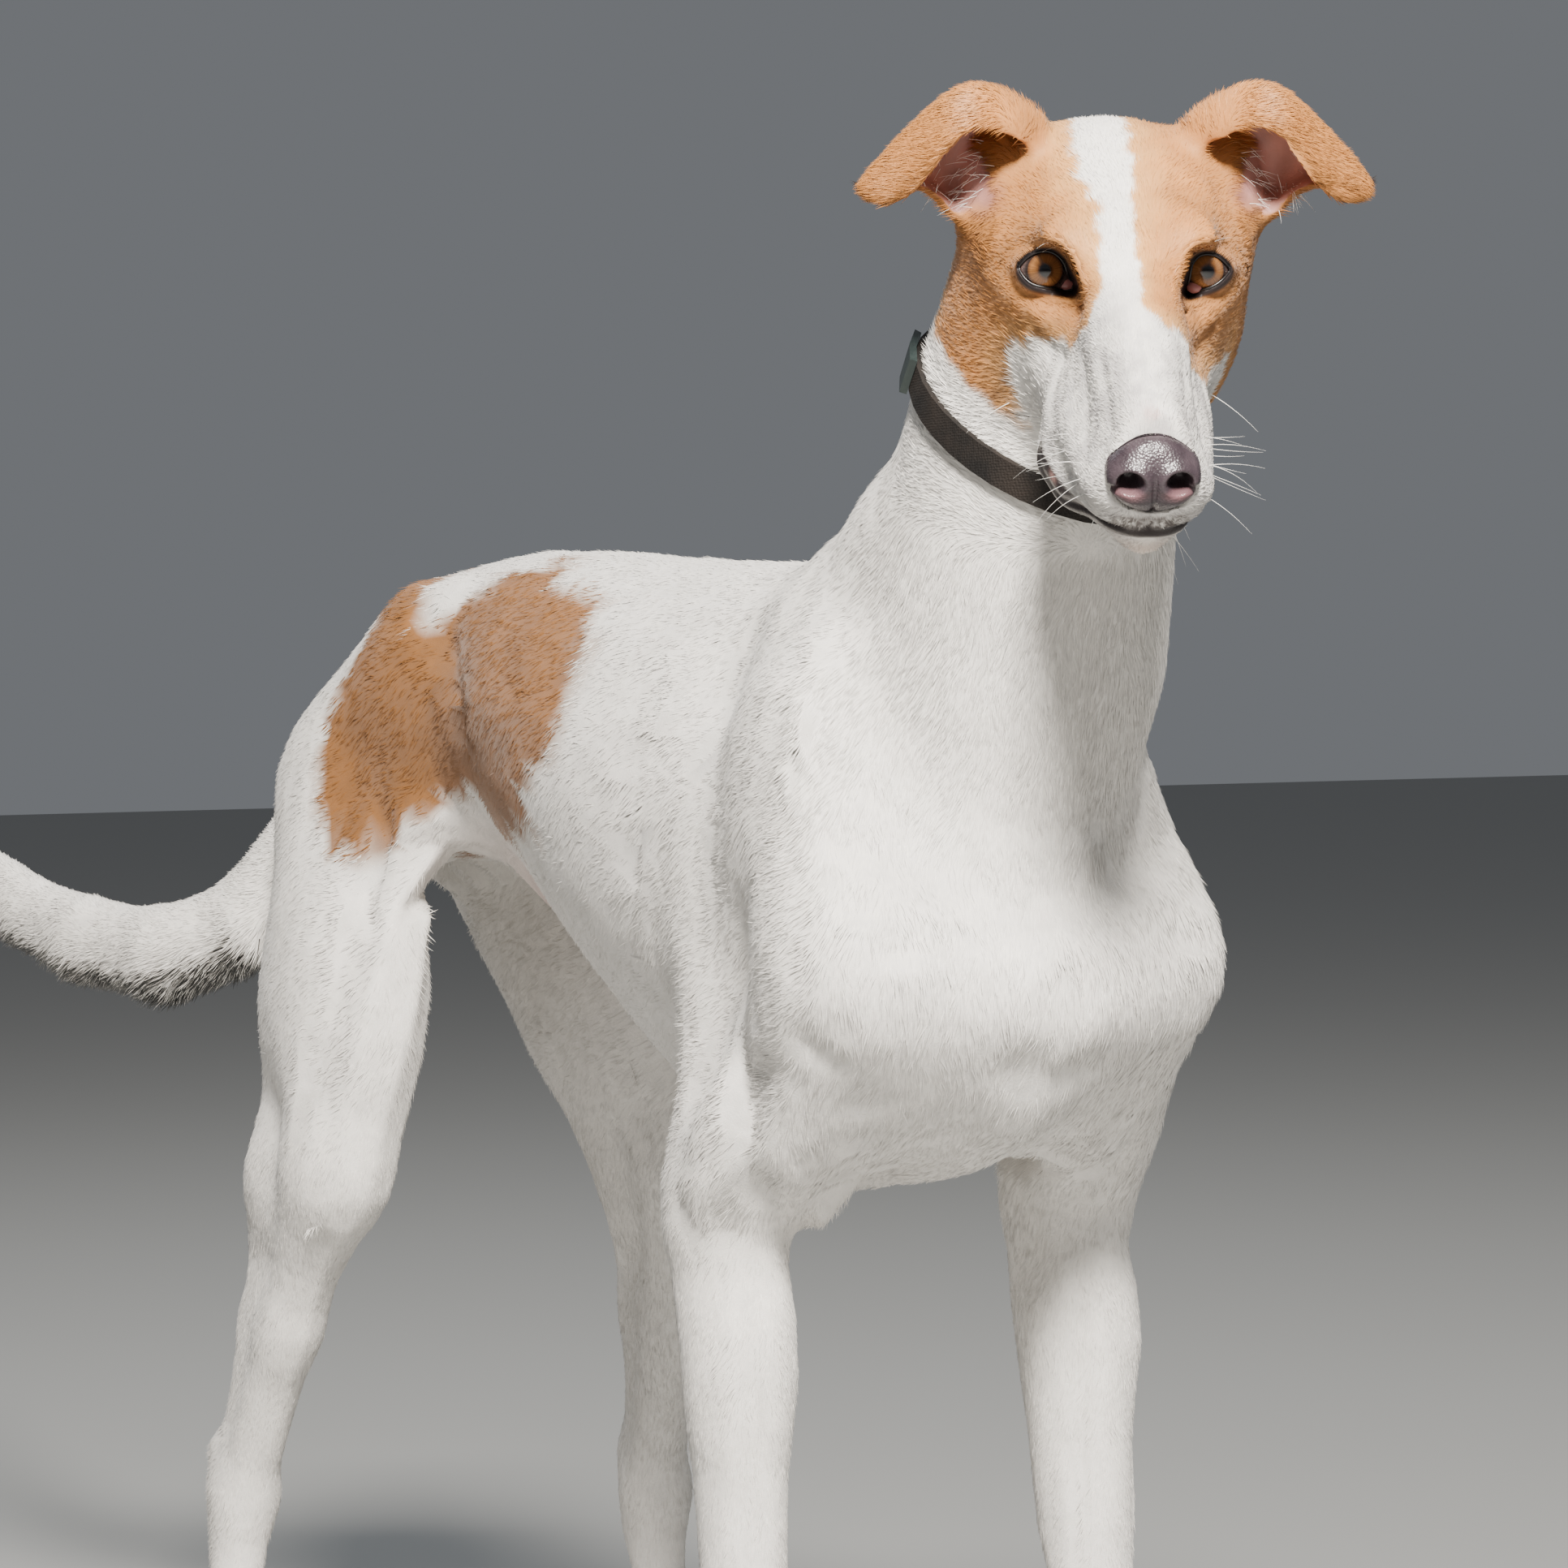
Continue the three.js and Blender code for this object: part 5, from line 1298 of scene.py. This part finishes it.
draw = np.random.default_rng(61)
rods = []
whisker_rows = ((-30, (30, 36, 30)), (-38, (34, 42, 38, 28)), (-46, (30, 38, 34, 26)))
for side in (-1, 1):
    for row, (up, lengths) in enumerate(whisker_rows):
        for k, long in enumerate(lengths):
            root, out = on_skin(104 - 12 * k + draw.uniform(-2, 2), side * 30, up + draw.uniform(-1.5, 1.5))
            way = out * 0.8 + head_way(0.15 - 0.25 * k, side * 0.75, -0.28 - 0.12 * row)
            way = way + draw.normal(0, 0.2, 3)
            long_here = long * draw.uniform(0.4, 0.75) / 1000
            rods.append((root, way, long_here, 0.00024, draw.uniform(-0.1, 0.3)))
    for k in range(5):
        root, out = on_skin(112 - 9 * k, side * (8 + 2 * k), -68)
        way = out + head_way(-0.1, side * 0.25, -0.7) + draw.normal(0, 0.15, 3)
        rods.append((root, way, draw.uniform(12, 22) / 1000, 0.00032, 0.1))
    for k in range(3):
        root, out = on_skin(4 + 3 * k, side * (27 + 3 * k), 17)
        way = out + head_way(0.1, side * 0.2, 0.9)
        rods.append((root, way, draw.uniform(5, 9) / 1000, 0.00015, 0.15))
    root, out = on_skin(-4, side * 46, -56)
    rods.append((root, out + head_way(0.2, side * 0.4, -0.2), 0.024, 0.00034, 0.15))
whiskers = hair_rods("whiskers", rods, white_hair_rod)

rods = []
for eye in eyes.values():
    side = eye["side"]
    x_axis, y_axis, z_axis = eye["axes"]
    highest_first = np.argsort(-eye["curve"][:, 1] + 0.12 * np.abs(eye["curve"][:, 0]))
    for k in range(46):
        upper = eye["curve"][highest_first[k % 40]]
        spot = upper + np.array((0, 0.5)) + draw.uniform(-0.2, 0.3, 2)
        root = in_eye(eye, spot[None], ball_height(eye, spot[None]) + 0.9)[0]
        way = z_axis * 0.55 + y_axis * 0.75 + x_axis * (0.25 + 0.05 * spot[0]) + draw.normal(0, 0.1, 3)
        rods.append((root, way, draw.uniform(2.2, 4.2) / 1000, 0.00034, 0.1))
    for k in range(26):
        along, left = 5 + draw.uniform(-3, 3), side * (20.5 + draw.uniform(-2, 2))
        root, out = on_skin(along, left, 12.5 + draw.uniform(-3, 3))
        way = out * 0.35 + head_way(-0.5, side * 0.25, 0.8) + draw.normal(0, 0.12, 3)
        rods.append((root, way, draw.uniform(3, 5) / 1000, 0.00030, 0.1))
root, out = on_skin(8, -45, -60)
rods.append((root, out * 0.5 + head_way(0.25, -0.9, 0.5), 0.021, 0.00036, -0.15))
lashes = hair_rods("lashes", rods, black_hair_rod, sides=4, steps=5)

# Inner ear hair: a few long fine pale hairs across the cup
rods = []
for side in (-1, 1):
    for k in range(70):
        place = (-58 + draw.uniform(-8, 10), side * draw.uniform(50, 76), draw.uniform(6, 34))
        root, out = on_skin(*place)
        way = out * 0.5 + head_way(0.2, side * draw.uniform(0.2, 1.0), draw.uniform(-0.9, 0.1))
        way = way + draw.normal(0, 0.2, 3)
        rods.append((root, way, draw.uniform(5, 10) / 1000, 0.00028, 0.12))
ear_hairs = hair_rods("ear_hairs", rods, white_hair_rod, sides=4, steps=5)

# Claws: grey-brown horn, mottled darker and paler
horn, tree, shader = principled("claw horn", Roughness=0.35)
streak = texture(tree, "ShaderNodeTexNoise", Scale=260.0, Detail=4.0)
horn_tones = toned(tree, streak.outputs["Fac"], [(0.3, (0.07, 0.05, 0.042)), (0.75, (0.26, 0.20, 0.16))])
link(tree, horn_tones, shader.inputs["Base Color"])

# Collar: a flat black-brown band of woven webbing, with paler worn patches, and a moulded plastic slide
webbing, tree, shader = principled("worn webbing", Roughness=0.8, Specular_IOR_Level=0.3)
weave = texture(tree, "ShaderNodeTexVoronoi", Scale=900.0, Randomness=0.35)
wear = texture(tree, "ShaderNodeTexNoise", Scale=60.0, Detail=5.0)
steps = [(0.35, (0.006, 0.005, 0.0045)), (0.8, (0.024, 0.017, 0.013))]
webbing_tones = toned(tree, wear.outputs["Fac"], steps)
link(tree, webbing_tones, shader.inputs["Base Color"])
relief(tree, shader, weave.outputs["Distance"], 0.6, 0.0006)
plastic, tree, shader = principled("dark green plastic")
scuffs = texture(tree, "ShaderNodeTexNoise", Scale=420.0, Detail=5.0, Roughness=0.7)
steps = [(0.0, (0.008, 0.014, 0.013)), (1.0, (0.028, 0.040, 0.037))]
plastic_tones = toned(tree, scuffs.outputs["Fac"], steps)
link(tree, plastic_tones, shader.inputs["Base Color"])
link(tree, spread(tree, scuffs.outputs["Fac"], 0.35, 0.7, 0.28, 0.5), shader.inputs["Roughness"])
for name in nodes:
    for start, material in (("claw", horn), ("collar", webbing), ("collar_slide", plastic)):
        if name.startswith(start):
            for place in nodes[name].material_slots:
                place.material = material
